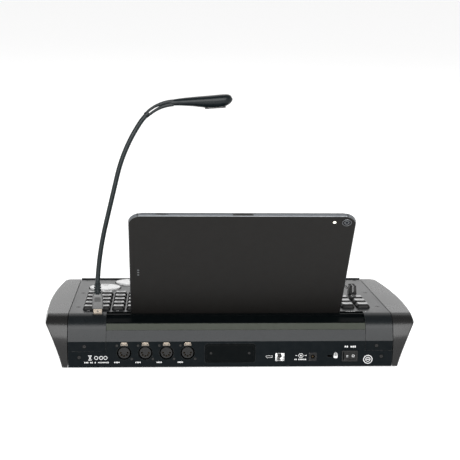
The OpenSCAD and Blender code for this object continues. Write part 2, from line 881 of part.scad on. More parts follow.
module small_keys_1() { small_key_row(0); }
module small_keys_2() { small_key_row(1); }
module small_keys_3() { small_key_row(2); }
module small_keys_4() { small_key_row(3); }
module small_keys_5() { small_key_row(4); }
module large_keys_1() { large_key_row(0); }
module large_keys_2() { large_key_row(1); }
module large_keys_3() { large_key_row(2); }

cap_len = 16;
cap_low = 0.6;
cap_h = 13.6;

module fader(column) {
    at_deck(column_x[column], fader_rear) {
        // cap, wider at its foot, with a hollowed top
        color(gloss_black) difference() {
            translate([0, cap_len / 2, cap_low]) rotate([90, 0, 0]) linear_extrude(cap_len) polygon([
                [-5.8, 0], [5.8, 0], [5.4, 3], [4.6, cap_h], [-4.6, cap_h], [-5.4, 3]
            ]);
            translate([-10, 0, cap_low + cap_h + 11]) rotate([0, 90, 0])
                cylinder(20, r = 12.2, $fn = 96);
            slab([1.4, 4.4], cap_low - 1, cap_low + 8.1);
        }
        // lever with its carriage inside the fader's body
        color(bright_metal) {
            slab([1.2, 4.2], -7, cap_low + 8);
            slab([7, 8], -9, -5);
        }
    }
}

module fader_1() { fader(0); }
module fader_2() { fader(1); }
module fader_3() { fader(2); }
module fader_4() { fader(3); }
module fader_5() { fader(4); }
module fader_6() { fader(5); }
module fader_7() { fader(6); }
module fader_8() { fader(7); }
module fader_9() { fader(8); }
module fader_10() { fader(9); }

module encoder_wheel(i) {
    at_deck(wheel_at[i].x, wheel_at[i].y) {
        color(key_grey) difference() {
            union() {
                translate([0, 0, wheel_low]) cylinder(wheel_top - 1 - wheel_low, r = wheel_d / 2, $fn = 96);
                translate([0, 0, wheel_top - 1 - eps])
                    cylinder(1 + eps, wheel_d / 2, wheel_d / 2 - 1, $fn = 96);
            }
            // finger dimple near the rim
            translate([0, wheel_d / 2 - 10, wheel_top + 5.6]) sphere(8, $fn = 48);
            translate([0, 0, wheel_low - 1]) cylinder(5, r = shaft_r + 0.02);
        }
        color(bright_metal) translate([0, 0, board_top + 0.7])
            cylinder(wheel_low + 3.8 - board_top - 0.7, r = shaft_r);
    }
}

module wheel_1() { encoder_wheel(0); }
module wheel_2() { encoder_wheel(1); }
module wheel_3() { encoder_wheel(2); }
module wheel_4() { encoder_wheel(3); }

// ---- lamp: its own +Z runs up from the socket, and it bends towards +X

module at_lamp() {
    at_deck(lamp_x, lamp_along) children();
}

// Puts children at the end of an arc of the neck
module past_arc(length, bend) {
    r = length / (bend * PI / 180);
    translate([r * (1 - cos(bend)), 0, r * sin(bend)]) rotate([0, bend, 0]) children();
}

// An arc of the neck, from a first length that is left out for the ball below it
module neck_arc(length, bend, skip = ball_r + gap) {
    r = length / (bend * PI / 180);
    skipped = bend * skip / length;
    translate([r, 0, 0]) mirror([1, 0, 0]) rotate([90, 0, 0]) rotate([0, 0, skipped])
        rotate_extrude(angle = bend - skipped, $fn = 96) translate([r, 0]) circle(neck_d / 2, $fn = 32);
}

module ball() {
    sphere(ball_r, $fn = 48);
}

module at_neck_lower() {
    at_lamp() translate([0, 0, pivot_h]) rotate([0, neck_start, 0]) children();
}

module at_neck_middle() {
    at_neck_lower() past_arc(lower_len, neck_lean - neck_start) children();
}

module at_neck_upper() {
    at_neck_middle() translate([0, 0, middle_len]) children();
}

module at_lamp_head() {
    at_neck_upper() past_arc(upper_len, upper_bend) children();
}

module at_fork() {
    at_lamp_head() past_arc(crook_len, crook_bend) children();
}

module lamp_plug() {
    color(bright_metal) at_lamp() {
        difference() {
            slab(plug_size, -plug_in, plug_out - gap);
            slab(plug_size - [0.6, 0.6], -plug_in - 1, plug_out - 1);
        }
        translate([0, -0.95, 0]) slab([11, 1.8], -plug_in + 0.3, plug_out - 1 - gap);
    }
}

module lamp_grip() {
    grip_top = plug_out + grip_h;
    color([0.2, 0.21, 0.22]) at_lamp() {
        hull() {
            translate([0, 0, plug_out]) linear_extrude(1) round_rect([14.6, 8], 1.6, $fn = 24);
            translate([0, 0, grip_top - 3]) linear_extrude(1) round_rect([13.6, 7.6], 1.6, $fn = 24);
            translate([0, 0, grip_top - 1]) linear_extrude(1) round_rect([10.8, 6.6], 1.6, $fn = 24);
        }
        // ribbed strain relief
        translate([0, 0, grip_top - 1]) cylinder(relief_h + 1, 3.6, 4.2);
        for (i = [0:3]) translate([0, 0, grip_top + 2.6 + i * 2.8]) cylinder(1.7, r = 4.9);
        translate([0, 0, pivot_h - 2]) cylinder(2, r = neck_d / 2);
        translate([0, 0, pivot_h]) ball();
    }
}

module neck_lower() {
    color(rubber) {
        at_neck_lower() neck_arc(lower_len, neck_lean - neck_start);
        at_neck_middle() ball();
    }
}

module neck_middle() {
    color(rubber) {
        at_neck_middle() translate([0, 0, ball_r + gap])
            cylinder(middle_len - ball_r - gap, r = neck_d / 2, $fn = 32);
        at_neck_upper() ball();
    }
}

module neck_upper() {
    color(rubber) {
        at_neck_upper() neck_arc(upper_len, upper_bend);
        at_lamp_head() ball();
    }
}

head_bend = head_tilt - neck_lean - upper_bend - crook_bend;

module at_paddle() {
    at_fork() past_arc(fork_len, head_bend) children();
}

module lamp_head() {
    color(gloss_black) {
        at_lamp_head() neck_arc(crook_len, crook_bend);
        // two prongs, one over the other, that hold the end of the neck
        for (side = [-1, 1]) at_fork() {
            r = fork_len / (head_bend * PI / 180) - side * prong_x;
            translate([side * prong_x - prong_t / 2, -prong_w / 2, -4])
                cube([prong_t, prong_w, 4 + gap]);
            translate([r + side * prong_x, 0, 0]) mirror([1, 0, 0]) rotate([90, 0, 0])
                rotate_extrude(angle = head_bend, $fn = 96) translate([r, 0])
                    square([prong_t, prong_w], center = true);
        }
        at_paddle() rotate([0, 0, paddle_roll]) hull() {
            translate([0, 0, -1]) linear_extrude(1) round_rect([8.6, 9], 3, $fn = 16);
            for (i = [0:4]) translate([0.5 * sin(45 * i), 0, 12 + i * (head_len - 24) / 4])
                scale([1, 1.75, 1]) sphere([4.9, 5.4, 6, 6.6, 6.8][i], $fn = 24);
            translate([0, 0, head_len - 8.5]) scale([0.78, 1.2, 1]) sphere(8.5, $fn = 24);
        }
    }
}

module lamp_lens() {
    // window that the light leaves by, on the underside
    color([0.9, 0.9, 0.85]) at_paddle() rotate([0, 0, paddle_roll])
        translate([7.2, 0, 0]) rotate([0, 90, 0]) linear_extrude(1.2)
            translate([-head_len * 0.68, 0]) round_rect([26, 10], 4.9);
}

// ---- tablet

module tablet_shell() {
    color([0.24, 0.24, 0.25]) at_tablet() difference() {
        translate([0, tablet_h / 2, 0]) linear_extrude(tablet_t - glass_t)
            round_rect([tablet_w, tablet_h], tablet_corner);
        translate([tablet_w / 2 - camera_at.x, tablet_h - camera_at.y, -1]) cylinder(3, r = 6.1);
        translate([tablet_w / 2 - flash_in, tablet_h - camera_at.y, -1]) cylinder(2, r = 2.3);
        for (i = [-1:1]) translate([-tablet_w / 2 + 11, tablet_h / 2 + i * 4.7, -1])
            cylinder(1.6, r = 1.6);
        translate([button_x - tablet_x, tablet_h + 1, 2.9]) rotate([90, 0, 0]) linear_extrude(3)
            round_rect([button_len + 0.4, 2.6], 1.2);
    }
}

module tablet_glass() {
    color(gloss_black) at_tablet() translate([0, tablet_h / 2, tablet_t - glass_t + 0.02])
        linear_extrude(glass_t - 0.02) round_rect([tablet_w - 1, tablet_h - 1], tablet_corner - 0.5);
}

module tablet_camera() {
    at_tablet() {
        color(gloss_black) translate([tablet_w / 2 - camera_at.x, tablet_h - camera_at.y, -0.8])
            cylinder(2.7, r = 6);
        color("white") translate([tablet_w / 2 - flash_in, tablet_h - camera_at.y, 0])
            cylinder(0.95, r = 2.2);
        color(bright_metal) for (i = [-1:1])
            translate([-tablet_w / 2 + 11, tablet_h / 2 + i * 4.7, 0]) cylinder(0.55, r = 1.5);
    }
}

module tablet_button() {
    color([0.3, 0.3, 0.31]) at_tablet() translate([button_x - tablet_x, tablet_h + 0.3, 2.9])
        rotate([90, 0, 0]) linear_extrude(1.5) round_rect([button_len, 2.2], 1);
}

// Moves the model from its building origin to the shared frame
foot_h = 3;
module in_frame() {
    translate([0, -(body_d + on_tablet(tablet_h).x) / 2, foot_h]) children();
}

in_frame() lower_tray();
in_frame() top_cover();
in_frame() left_cheek();
in_frame() right_cheek();
in_frame() case_screws();
in_frame() feet();
in_frame() tablet_dock();
in_frame() dock_pads();
in_frame() rear_trim_strip();
in_frame() xlr_shells();
in_frame() xlr_inserts();
in_frame() contact_pins();
in_frame() xlr_latches();
in_frame() panel_screws();
in_frame() port_cover();
in_frame() port_shells();
in_frame() port_inserts();
in_frame() switch_body();
in_frame() switch_rocker();
in_frame() main_board();
in_frame() key_board();
in_frame() fader_board();
in_frame() fader_bodies();
in_frame() encoder_bodies();
in_frame() key_switches();
in_frame() ribbon_cables();
in_frame() board_screws();
in_frame() fader_1();
in_frame() fader_2();
in_frame() fader_3();
in_frame() fader_4();
in_frame() fader_5();
in_frame() fader_6();
in_frame() fader_7();
in_frame() fader_8();
in_frame() fader_9();
in_frame() fader_10();
in_frame() wheel_1();
in_frame() wheel_2();
in_frame() wheel_3();
in_frame() wheel_4();
in_frame() small_keys_1();
in_frame() small_keys_2();
in_frame() small_keys_3();
in_frame() small_keys_4();
in_frame() small_keys_5();
in_frame() large_keys_1();
in_frame() large_keys_2();
in_frame() large_keys_3();
in_frame() lamp_plug();
in_frame() lamp_grip();
in_frame() neck_lower();
in_frame() neck_middle();
in_frame() neck_upper();
in_frame() lamp_head();
in_frame() lamp_lens();
in_frame() tablet_shell();
in_frame() tablet_glass();
in_frame() tablet_camera();
in_frame() tablet_button();
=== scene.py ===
"""Looks for a lighting control desk: metal housing, two moulded cheeks, keys, faders, wheels, a docked
tablet and a gooseneck lamp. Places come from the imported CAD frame. Local shapes are in millimetres."""

import json
import math

import bmesh
import bpy
import numpy as np
from mathutils import Matrix, Vector

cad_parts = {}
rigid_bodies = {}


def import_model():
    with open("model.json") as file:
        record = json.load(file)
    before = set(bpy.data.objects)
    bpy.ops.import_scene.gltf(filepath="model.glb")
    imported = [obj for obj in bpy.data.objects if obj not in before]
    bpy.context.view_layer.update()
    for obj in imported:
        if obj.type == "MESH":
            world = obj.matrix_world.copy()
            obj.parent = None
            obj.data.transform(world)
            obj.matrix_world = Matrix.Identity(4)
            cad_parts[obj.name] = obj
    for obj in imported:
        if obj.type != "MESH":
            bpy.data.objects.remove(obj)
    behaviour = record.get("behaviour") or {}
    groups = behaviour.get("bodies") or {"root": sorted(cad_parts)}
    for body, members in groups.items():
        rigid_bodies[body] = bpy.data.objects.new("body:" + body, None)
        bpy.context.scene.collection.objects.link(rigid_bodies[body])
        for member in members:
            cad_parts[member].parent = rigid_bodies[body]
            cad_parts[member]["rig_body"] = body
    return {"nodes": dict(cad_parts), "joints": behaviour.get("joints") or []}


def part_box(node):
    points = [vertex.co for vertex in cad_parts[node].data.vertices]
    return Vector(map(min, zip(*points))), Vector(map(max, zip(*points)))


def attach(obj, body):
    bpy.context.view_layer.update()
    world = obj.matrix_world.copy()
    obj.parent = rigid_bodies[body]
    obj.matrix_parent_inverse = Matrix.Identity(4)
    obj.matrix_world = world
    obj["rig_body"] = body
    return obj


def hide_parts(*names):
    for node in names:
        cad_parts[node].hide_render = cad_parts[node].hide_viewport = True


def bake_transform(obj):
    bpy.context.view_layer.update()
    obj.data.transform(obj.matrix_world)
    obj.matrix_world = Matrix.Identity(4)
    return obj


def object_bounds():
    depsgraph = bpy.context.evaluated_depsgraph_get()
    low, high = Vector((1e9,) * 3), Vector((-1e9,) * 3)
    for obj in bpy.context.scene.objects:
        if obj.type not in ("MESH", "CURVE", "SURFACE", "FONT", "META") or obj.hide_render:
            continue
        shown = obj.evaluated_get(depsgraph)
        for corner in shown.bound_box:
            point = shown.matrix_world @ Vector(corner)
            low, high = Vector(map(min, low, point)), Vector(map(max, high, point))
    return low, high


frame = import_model()
cad_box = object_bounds()

MM = 0.001
NODES = frame["nodes"]
JOINTS = {joint["name"]: joint for joint in frame["joints"]}

# ---- the frame's directions and planes

ACROSS = Vector((1, 0, 0))
ALONG = Vector(JOINTS["fader_1_slide"]["axis"]).normalized()
OUT = Vector(JOINTS["lamp_unplug"]["axis"]).normalized()
TABLET_UP = Vector(JOINTS["tablet_lift"]["axis"]).normalized()
TABLET_FRONT = ACROSS.cross(TABLET_UP) * -1
# middle of the rear panel's lower edge
TRAY_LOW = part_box("lower_tray")[0]
ORIGIN = Vector((0, TRAY_LOW.y, TRAY_LOW.z))


def points_of(node):
    """The points of a CAD node as rows of an array, in metres."""
    mesh = NODES[node].data
    flat = np.zeros(len(mesh.vertices) * 3, np.float32)
    mesh.vertices.foreach_get("co", flat)
    return flat.reshape(-1, 3).astype(float)


def span(node, axis):
    """Lowest and highest place of a CAD node along an axis, in millimetres."""
    reach = points_of(node) @ np.array(axis) / MM
    return reach.min(), reach.max()


def axes_at(origin, x_axis, y_axis, z_axis):
    """Matrix from local millimetres to the frame's metres."""
    turn = Matrix((x_axis, y_axis, z_axis)).transposed().to_4x4()
    return Matrix.Translation(origin) @ turn @ Matrix.Scale(MM, 4)


def deck_origin():
    """Where the flat of the deck begins at the crest, half way across."""
    points = points_of("top_cover")
    # the rear half only, since a lip stands over the deck at its front
    points = points[points[:, 1] < (points[:, 1].min() + points[:, 1].max()) / 2]
    heights = points @ np.array(OUT)
    level = heights.max()
    alongs = (points @ np.array(ALONG))[heights > level - 0.02 * MM]
    return OUT * level + ALONG * alongs.min()


DECK = axes_at(deck_origin(), ACROSS, ALONG, OUT)
REAR = axes_at(ORIGIN, ACROSS, Vector((0, 0, 1)), Vector((0, -1, 0)))
PLAIN = Matrix.Translation(ORIGIN) @ Matrix.Scale(MM, 4)


def deck_at(x, along, height=0):
    return shifted(DECK, x, along, height)


def rear_at(x, z, out=0):
    return shifted(REAR, x, z, out)


def islands(node, place):
    """Boxes (low, high) of a CAD node's separate solids, in the local millimetres of a place."""
    mesh = NODES[node].data
    points = points_of(node)
    keys = {}
    group = []
    for point in np.round(points / (0.01 * MM)).astype(int):
        group.append(keys.setdefault(tuple(point), len(keys)))
    parent = list(range(len(keys)))

    def root(i):
        while parent[i] != i:
            parent[i] = parent[parent[i]]
            i = parent[i]
        return i

    for face in mesh.polygons:
        first = root(group[face.vertices[0]])
        for v in face.vertices[1:]:
            parent[root(group[v])] = first
    back = place.inverted()
    boxes = {}
    for i, point in enumerate(points):
        local = back @ Vector(point)
        low, high = boxes.setdefault(root(group[i]), (local.copy(), local.copy()))
        for k in range(3):
            low[k] = min(low[k], local[k])
            high[k] = max(high[k], local[k])
    return sorted(boxes.values(), key=lambda box: (round(box[0].x, 1), round(box[0].y, 1)))


def local_box(node, place):
    """Box (low, high) of a whole CAD node, in the local millimetres of a place."""
    boxes = islands(node, place)
    low = Vector([min(box[0][k] for box in boxes) for k in range(3)])
    high = Vector([max(box[1][k] for box in boxes) for k in range(3)])
    return low, high


def shifted(place, x, y, z=0):
    """A place moved in its own millimetres."""
    return place @ Matrix.Translation((x, y, z))


def turned(place, degrees, axis):
    """A place turned about one of its own axes."""
    return place @ Matrix.Rotation(math.radians(degrees), 4, axis)


# ---- materials


class Nodes:
    """Short calls for building one material's node tree."""

    def __init__(self, name):
        self.material = bpy.data.materials.new(name)
        self.material.use_nodes = True
        self.tree = self.material.node_tree
        self.shader = self.tree.nodes["Principled BSDF"]
        self.coords = self.tree.nodes.new("ShaderNodeTexCoord").outputs["Object"]

    def node(self, kind, inputs=None, **settings):
        made = self.tree.nodes.new("ShaderNode" + kind)
        for key, value in settings.items():
            setattr(made, key, value)
        for key, value in (inputs or {}).items():
            self.plug(value, made.inputs[key])
        return made

    def plug(self, value, socket):
        if isinstance(value, bpy.types.NodeSocket):
            self.tree.links.new(value, socket)
        else:
            socket.default_value = value

    def set(self, **inputs):
        for key, value in inputs.items():
            self.plug(value, self.shader.inputs[key.replace("_", " ")])

    def noise(self, scale, detail=2.0, rough=0.5, stretch=None):
        """Noise with features about 1/scale metres wide; stretch scales each axis."""
        place = self.coords
        if stretch:
            place = self.node("Mapping", {"Vector": self.coords, "Scale": stretch}).outputs["Vector"]
        return self.node(
            "TexNoise", {"Vector": place, "Scale": scale, "Detail": detail, "Roughness": rough}
        ).outputs["Fac"]

    def map(self, value, low, high, to_low, to_high):
        return self.node(
            "MapRange",
            {"Value": value, "From Min": low, "From Max": high, "To Min": to_low, "To Max": to_high},
        ).outputs["Result"]

    def math(self, operation, a, b):
        return self.node("Math", {0: a, 1: b}, operation=operation).outputs[0]

    def mix(self, factor, a, b):
        made = self.node("Mix", {"Factor": factor}, data_type="RGBA")
        self.plug(a, made.inputs[6])
        self.plug(b, made.inputs[7])
        return made.outputs[2]

    def scale(self, colour, factor):
        return self.node("VectorMath", {0: colour, "Scale": factor}, operation="SCALE").outputs[0]

    def edges(self, radius):
        """1 on corners and edges tighter than a radius in metres, 0 on flats."""
        rounded = self.node("Bevel", {"Radius": radius}, samples=4).outputs["Normal"]
        flat = self.node("NewGeometry").outputs["Normal"]
        dot = self.node("VectorMath", {0: rounded, 1: flat}, operation="DOT_PRODUCT").outputs["Value"]
        return self.map(dot, 0.98, 0.82, 0, 1)

    def bump(self, heights, strength=1.0):
        """Adds bumps one over another: (height, distance in metres) pairs."""
        normal = None
        for height, distance in heights:
            inputs = {"Height": height, "Strength": strength, "Distance": distance}
            if normal:
                inputs["Normal"] = normal
            normal = self.node("Bump", inputs).outputs["Normal"]
        self.set(Normal=normal)


def grey(value, tint=(0, 0, 0)):
    return (value + tint[0], value + tint[1], value + tint[2], 1)


def tone(value):
    """A plain number stands for a grey; a colour, or nothing, stays as it is."""
    return grey(value) if isinstance(value, float) else value


def finish_material(
    name, base, other, rough, grain=None, wear_and_painted_highlight=None, coat=0.0, smudge=0.02, specular=0.5
):
    """A solid finish. base and other are colours mixed by soft blotches; rough is a (low, high)
    range; grain is (features per metre, height in metres); the edge colour after grain goes on
    rubbed edges and also paints a highlight along every sharp edge; a pair for specular goes from
    upright faces to those that look up."""
    n = Nodes(name)
    # upright faces reflect less than those that look up: painted shade on upright panels
    if isinstance(specular, tuple):
        normal = n.node("NewGeometry").outputs["Normal"]
        upward = n.node("SeparateXYZ", {0: normal}).outputs["Z"]
        specular = n.map(upward, 0.1, 0.45, *specular)
    blotch = n.noise(120, 4.0, 0.6)
    fine = n.noise(grain[0] if grain else 900, 2.0, 0.6)
    colour = n.mix(n.map(blotch, 0.3, 0.7, 0, 1), tone(base), tone(other))
    colour = n.scale(colour, n.map(fine, 0.35, 0.7, 0.86, 1.1))
    roughness = n.map(n.noise(420, 4.0, 0.6), 0.3, 0.7, *rough)
    roughness = n.math("ADD", roughness, n.map(n.noise(9, 2.0), 0.4, 0.75, 0, smudge))
    # edge colour: rubbed wear, and also a painted highlight along every sharp edge
    if wear_and_painted_highlight:
        rubbed_and_painted_edges = n.math("MULTIPLY", n.edges(0.0007), n.map(n.noise(240, 4.0), 0.42, 0.6, 0.15, 0.8))
        colour = n.mix(rubbed_and_painted_edges, colour, tone(wear_and_painted_highlight))
    n.set(Base_Color=colour, Roughness=roughness, Specular_IOR_Level=specular)
    if coat:
        n.set(Coat_Weight=coat, Coat_Roughness=0.12)
    if grain:
        n.bump([(fine, grain[1]), (n.noise(grain[0] * 2.3, 2.0), grain[1] * 0.4)], 0.7)
    else:
        n.bump([(fine, 0.000004)], 0.5)
    return n.material


def brushed_material(name, base, other, rough, direction):
    """Metal with fine lines along one axis of the frame."""
    n = Nodes(name)
    stretch = [1.0, 1.0, 1.0]
    stretch[direction] = 0.02
    lines = n.noise(2600, 3.0, 0.7, stretch=tuple(stretch))
    n.set(
        Base_Color=n.mix(n.map(lines, 0.3, 0.7, 0, 1), base, other),
        Roughness=n.map(n.noise(70, 4.0), 0.3, 0.7, *rough),
        Metallic=1.0,
    )
    n.bump([(lines, 0.000004)], 0.6)
    return n.material


def board_material():
    """Circuit board: green resist over copper tracks, with pads."""
    n = Nodes("circuit_board")
    bricks = {"Scale": 160.0, "Mortar Size": 0.06, "Color1": grey(0.25), "Color2": grey(0.4)}
    tracks = n.node("TexBrick", {"Vector": n.coords, **bricks})
    pads = n.node("TexVoronoi", {"Vector": n.coords, "Scale": 330.0}).outputs["Distance"]
    base = n.mix(tracks.outputs["Fac"], (0.012, 0.07, 0.035, 1), (0.02, 0.12, 0.055, 1))
    base = n.mix(n.map(pads, 0.1, 0.06, 0, 1), base, (0.62, 0.6, 0.52, 1))
    n.set(Base_Color=base, Roughness=n.map(n.noise(90, 3.0), 0.3, 0.7, 0.28, 0.45))
    n.bump([(tracks.outputs["Fac"], 0.00003), (n.map(pads, 0.1, 0.05, 0, 1), 0.00006)], 0.6)
    return n.material


def glass_material():
    """Dark display glass with faint smears."""
    n = Nodes("display_glass")
    smear = n.noise(14, 5.0, 0.7, stretch=(1.0, 0.4, 1.0))
    n.set(
        Base_Color=n.mix(n.noise(6, 2.0), grey(0.004), grey(0.008, (0, 0, 0.001))),
        Roughness=n.map(smear, 0.45, 0.7, 0.05, 0.2),
        Coat_Weight=1.0,
        Coat_Roughness=0.04,
    )
    n.bump([(n.noise(40, 2.0), 0.000004)], 0.3)
    return n.material


def print_material(name, shade):
    """Screen-printed ink with slightly broken cover."""
    n = Nodes(name)
    cover = n.map(n.noise(2200, 3.0), 0.3, 0.5, 0.75, 1)
    n.set(Base_Color=n.scale(grey(shade)[:3], cover), Roughness=n.map(n.noise(400), 0.3, 0.7, 0.4, 0.6))
    n.bump([(n.noise(1800), 0.000008)], 0.5)
    return n.material


def lens_material():
    """Milky diffuser over light-emitting diodes, unlit."""
    n = Nodes("diffuser")
    cells = n.node("TexVoronoi", {"Vector": n.coords, "Scale": 260.0}).outputs["Distance"]
    n.set(
        Base_Color=n.mix(n.map(cells, 0.1, 0.5, 0, 1), (0.85, 0.78, 0.45, 1), (0.8, 0.8, 0.76, 1)),
        Roughness=n.map(n.noise(200), 0.3, 0.7, 0.12, 0.3),
        Coat_Weight=0.6,
    )
    n.bump([(cells, 0.00003)], 0.4)
    return n.material


# specular drops on upright faces, painted shade on the case's upright panels
PAINT = finish_material(
    "powder_coat", grey(0.0036, (0, 0.0012, 0.002)), grey(0.005, (0, 0.0012, 0.002)), (0.26, 0.31),
    grain=(1500, 0.000007), wear_and_painted_highlight=0.04, specular=(0.015, 0.175),
)
MOULDING = finish_material(
    "moulded_cheek", 0.007, 0.0076, (0.26, 0.275), grain=(2600, 0.0000004), specular=0.25,
)
STRIP = finish_material(
    "trim_coat", (0.008, 0.011, 0.005, 1), (0.011, 0.014, 0.008, 1), (0.3, 0.38),
    grain=(1900, 0.000006), wear_and_painted_highlight=0.08, specular=0.13,
)
SATIN_BLACK = finish_material(
    "satin_black", 0.012, 0.018, (0.34, 0.46), grain=(2400, 0.00001), wear_and_painted_highlight=0.05,
)
DOCK_SKIN = finish_material(
    "dock_black", grey(0.001, (0, 0.0006, 0.0008)), grey(0.0016, (0, 0.0006, 0.0008)), (0.3, 0.38),
    grain=(2200, 0.000006), wear_and_painted_highlight=0.01, specular=0.035,
)
SMOKED = finish_material(
    "fader_plastic", 0.004, 0.007, (0.3, 0.4), grain=(1600, 0.000003), wear_and_painted_highlight=0.03,
    specular=0.2,
)
# one key plastic in two tones: painted shade darkens the sides, painted light brightens the tops
KEY_SIDE_PAINTED_SHADE = finish_material(
    "key_side_painted_shade", 0.004, 0.006, (0.4, 0.52), grain=(2600, 0.000006), wear_and_painted_highlight=0.02,
    specular=0.15,
)
KEY_TOP_PAINTED_LIGHT = finish_material(
    "key_top_painted_light", 0.02, 0.028, (0.1, 0.18), grain=(2200, 0.000003), wear_and_painted_highlight=0.06, coat=0.3,
)
WHEEL = finish_material(
    "wheel_plastic", 0.4, 0.46, (0.14, 0.24), grain=(2000, 0.000004), wear_and_painted_highlight=0.62,
    coat=0.5,
)
RUBBER = finish_material(
    "soft_rubber", 0.014, 0.022, (0.55, 0.72), grain=(1700, 0.00002), wear_and_painted_highlight=0.04,
)
LAMP_SKIN = finish_material(
    "lamp_black", (0.003, 0.005, 0.006, 1), (0.005, 0.007, 0.008, 1), (0.24, 0.32),
    grain=(2600, 0.000002), wear_and_painted_highlight=0.02, specular=0.16,
)
NECK_SKIN = finish_material(
    "neck_rubber", (0.004, 0.007, 0.008, 1), (0.007, 0.01, 0.011, 1), (0.3, 0.4),
    grain=(1400, 0.000006), wear_and_painted_highlight=0.02, specular=0.2,
)
GRIP_SKIN = finish_material(
    "grip_plastic", 0.05, 0.062, (0.35, 0.5), grain=(2000, 0.000012), wear_and_painted_highlight=0.12,
)
STEEL = brushed_material("bright_steel", grey(0.62), grey(0.72), (0.2, 0.32), 0)
PLATED = brushed_material("nickel_plate", (0.26, 0.22, 0.18, 1), (0.34, 0.3, 0.25, 1), (0.2, 0.32), 2)
DARK_STEEL = brushed_material("black_screw", grey(0.025), grey(0.045), (0.3, 0.45), 0)
GOLD = brushed_material("dull_contact", (0.05, 0.037, 0.02, 1), (0.07, 0.05, 0.03, 1), (0.35, 0.45), 1)
SCREW_BLACK = finish_material(
    "screw_black", 0.004, 0.007, (0.3, 0.4), grain=(2600, 0.000004), wear_and_painted_highlight=0.12,
    specular=0.2,
)
INSERT_BLACK = finish_material(
    "insert_black", 0.012, 0.016, (0.4, 0.5), grain=(2600, 0.000004), wear_and_painted_highlight=0.02,
    specular=0.12,
)
TABLET_SKIN = finish_material(
    "tablet_aluminium", (0.0062, 0.0058, 0.0054, 1), (0.0072, 0.0068, 0.0064, 1), (0.42, 0.48),
    grain=(3400, 0.000002), wear_and_painted_highlight=0.06, smudge=0.01, specular=0.09,
)
TABLET_RIM = brushed_material("tablet_chamfer", grey(0.09, (0, 0.01, 0.02)), grey(0.13), (0.3, 0.4), 0)
TABLET_SIDE = finish_material(
    "tablet_side", grey(0.075, (0, 0.005, 0.012)), grey(0.09, (0, 0.005, 0.012)), (0.4, 0.5),
    grain=(3400, 0.000002), wear_and_painted_highlight=0.12, specular=0.2,
)
CAMERA_BLACK = finish_material(
    "camera_black", 0.002, (0.002, 0.004, 0.008, 1), (0.1, 0.16), grain=(3000, 0.000001),
    wear_and_painted_highlight=0.01, specular=0.1,
)
TABLET_LINE = finish_material("antenna_line", 0.012, 0.016, (0.4, 0.5))
BOARD = board_material()
GLASS = glass_material()
LENS = lens_material()
INK = print_material("white_ink", 0.42)
# grey print, also used for a painted highlight stripe on the fader caps
DIM_INK_AND_PAINTED_HIGHLIGHT = print_material("grey_ink_and_painted_highlight", 0.35)
CABLE = finish_material("ribbon_grey", 0.25, 0.32, (0.4, 0.5), grain=(900, 0.00003))

# ---- mesh building


def rounded_ring(width, depth, radius, height, steps=5):
    return [(x, y, height) for x, y in rounded_rect(width, depth, radius, steps)]


class Build:
    """Collects the points and faces of one piece, given in the millimetres of local places."""

    def __init__(self):
        self.points = []
        self.faces = []
        self.slots = []

    def add(self, points, faces, place, slot=0):
        first = len(self.points)
        self.points += [place @ Vector(p) for p in points]
        self.faces += [[first + i for i in face] for face in faces]
        self.slots += [slot] * len(faces)

    def loft(self, rings, place, slot=0, start=True, end=True):
        """Skins closed rings of equal length. slot may be a list with one entry for each band."""
        n = len(rings[0])
        bands = slot if isinstance(slot, list) else [slot] * (len(rings) - 1)
        for band in sorted(set(bands)):
            faces = [
                (i * n + j, i * n + (j + 1) % n, (i + 1) * n + (j + 1) % n, (i + 1) * n + j)
                for i in range(len(rings) - 1)
                if bands[i] == band
                for j in range(n)
            ]
            if start and bands[0] == band:
                faces.append(tuple(reversed(range(n))))
            if end and bands[-1] == band:
                faces.append(tuple(range((len(rings) - 1) * n, len(rings) * n)))
            used = sorted({i for face in faces for i in face})
            local = {old: new for new, old in enumerate(used)}
            flat = [p for ring in rings for p in ring]
            self.add([flat[i] for i in used], [[local[i] for i in face] for face in faces], place, band)

    def lathe(self, profile, place, slot=0, steps=48, start=True, end=True):
        """Turns (radius, height) pairs about the local Z axis."""
        rings = [circle(radius, steps, height) for radius, height in profile]
        self.loft(rings, place, slot, start, end)

    def block(self, size, low, high, place, slot=0, corner=0.6, ease=0.3):
        """A box with rounded upright corners and eased edges above and below."""
        rings = []
        for height, inset in ((low, ease), (low + ease, 0), (high - ease, 0), (high, ease)):
            width, depth = size[0] - 2 * inset, size[1] - 2 * inset
            rings.append(rounded_ring(width, depth, max(corner - inset, 0.05), height))
        self.loft(rings, place, slot)


def circle(radius, steps, height=0):
    angles = [2 * math.pi * j / steps for j in range(steps)]
    return [(radius * math.cos(a), radius * math.sin(a), height) for a in angles]


def rounded_rect(width, depth, radius, steps=5):
    """Outline of a rectangle with round corners, anticlockwise."""
    radius = min(radius, width / 2 - 0.001, depth / 2 - 0.001)
    outline = []
    for corner, (sx, sy) in enumerate(((1, 1), (-1, 1), (-1, -1), (1, -1))):
        for k in range(steps + 1):
            angle = math.pi / 2 * (corner + k / steps)
            outline.append((
                sx * (width / 2 - radius) + radius * math.cos(angle),
                sy * (depth / 2 - radius) + radius * math.sin(angle),
            ))
    return outline


def finish_mesh(mesh, sharp):
    work = bmesh.new()
    work.from_mesh(mesh)
    bmesh.ops.remove_doubles(work, verts=work.verts, dist=1e-6)
    bmesh.ops.dissolve_degenerate(work, edges=work.edges, dist=1e-7)
    bmesh.ops.recalc_face_normals(work, faces=work.faces)
    work.to_mesh(mesh)
    work.free()
    mesh.polygons.foreach_set("use_smooth", [True] * len(mesh.polygons))
    mesh.set_sharp_from_angle(angle=math.radians(sharp))


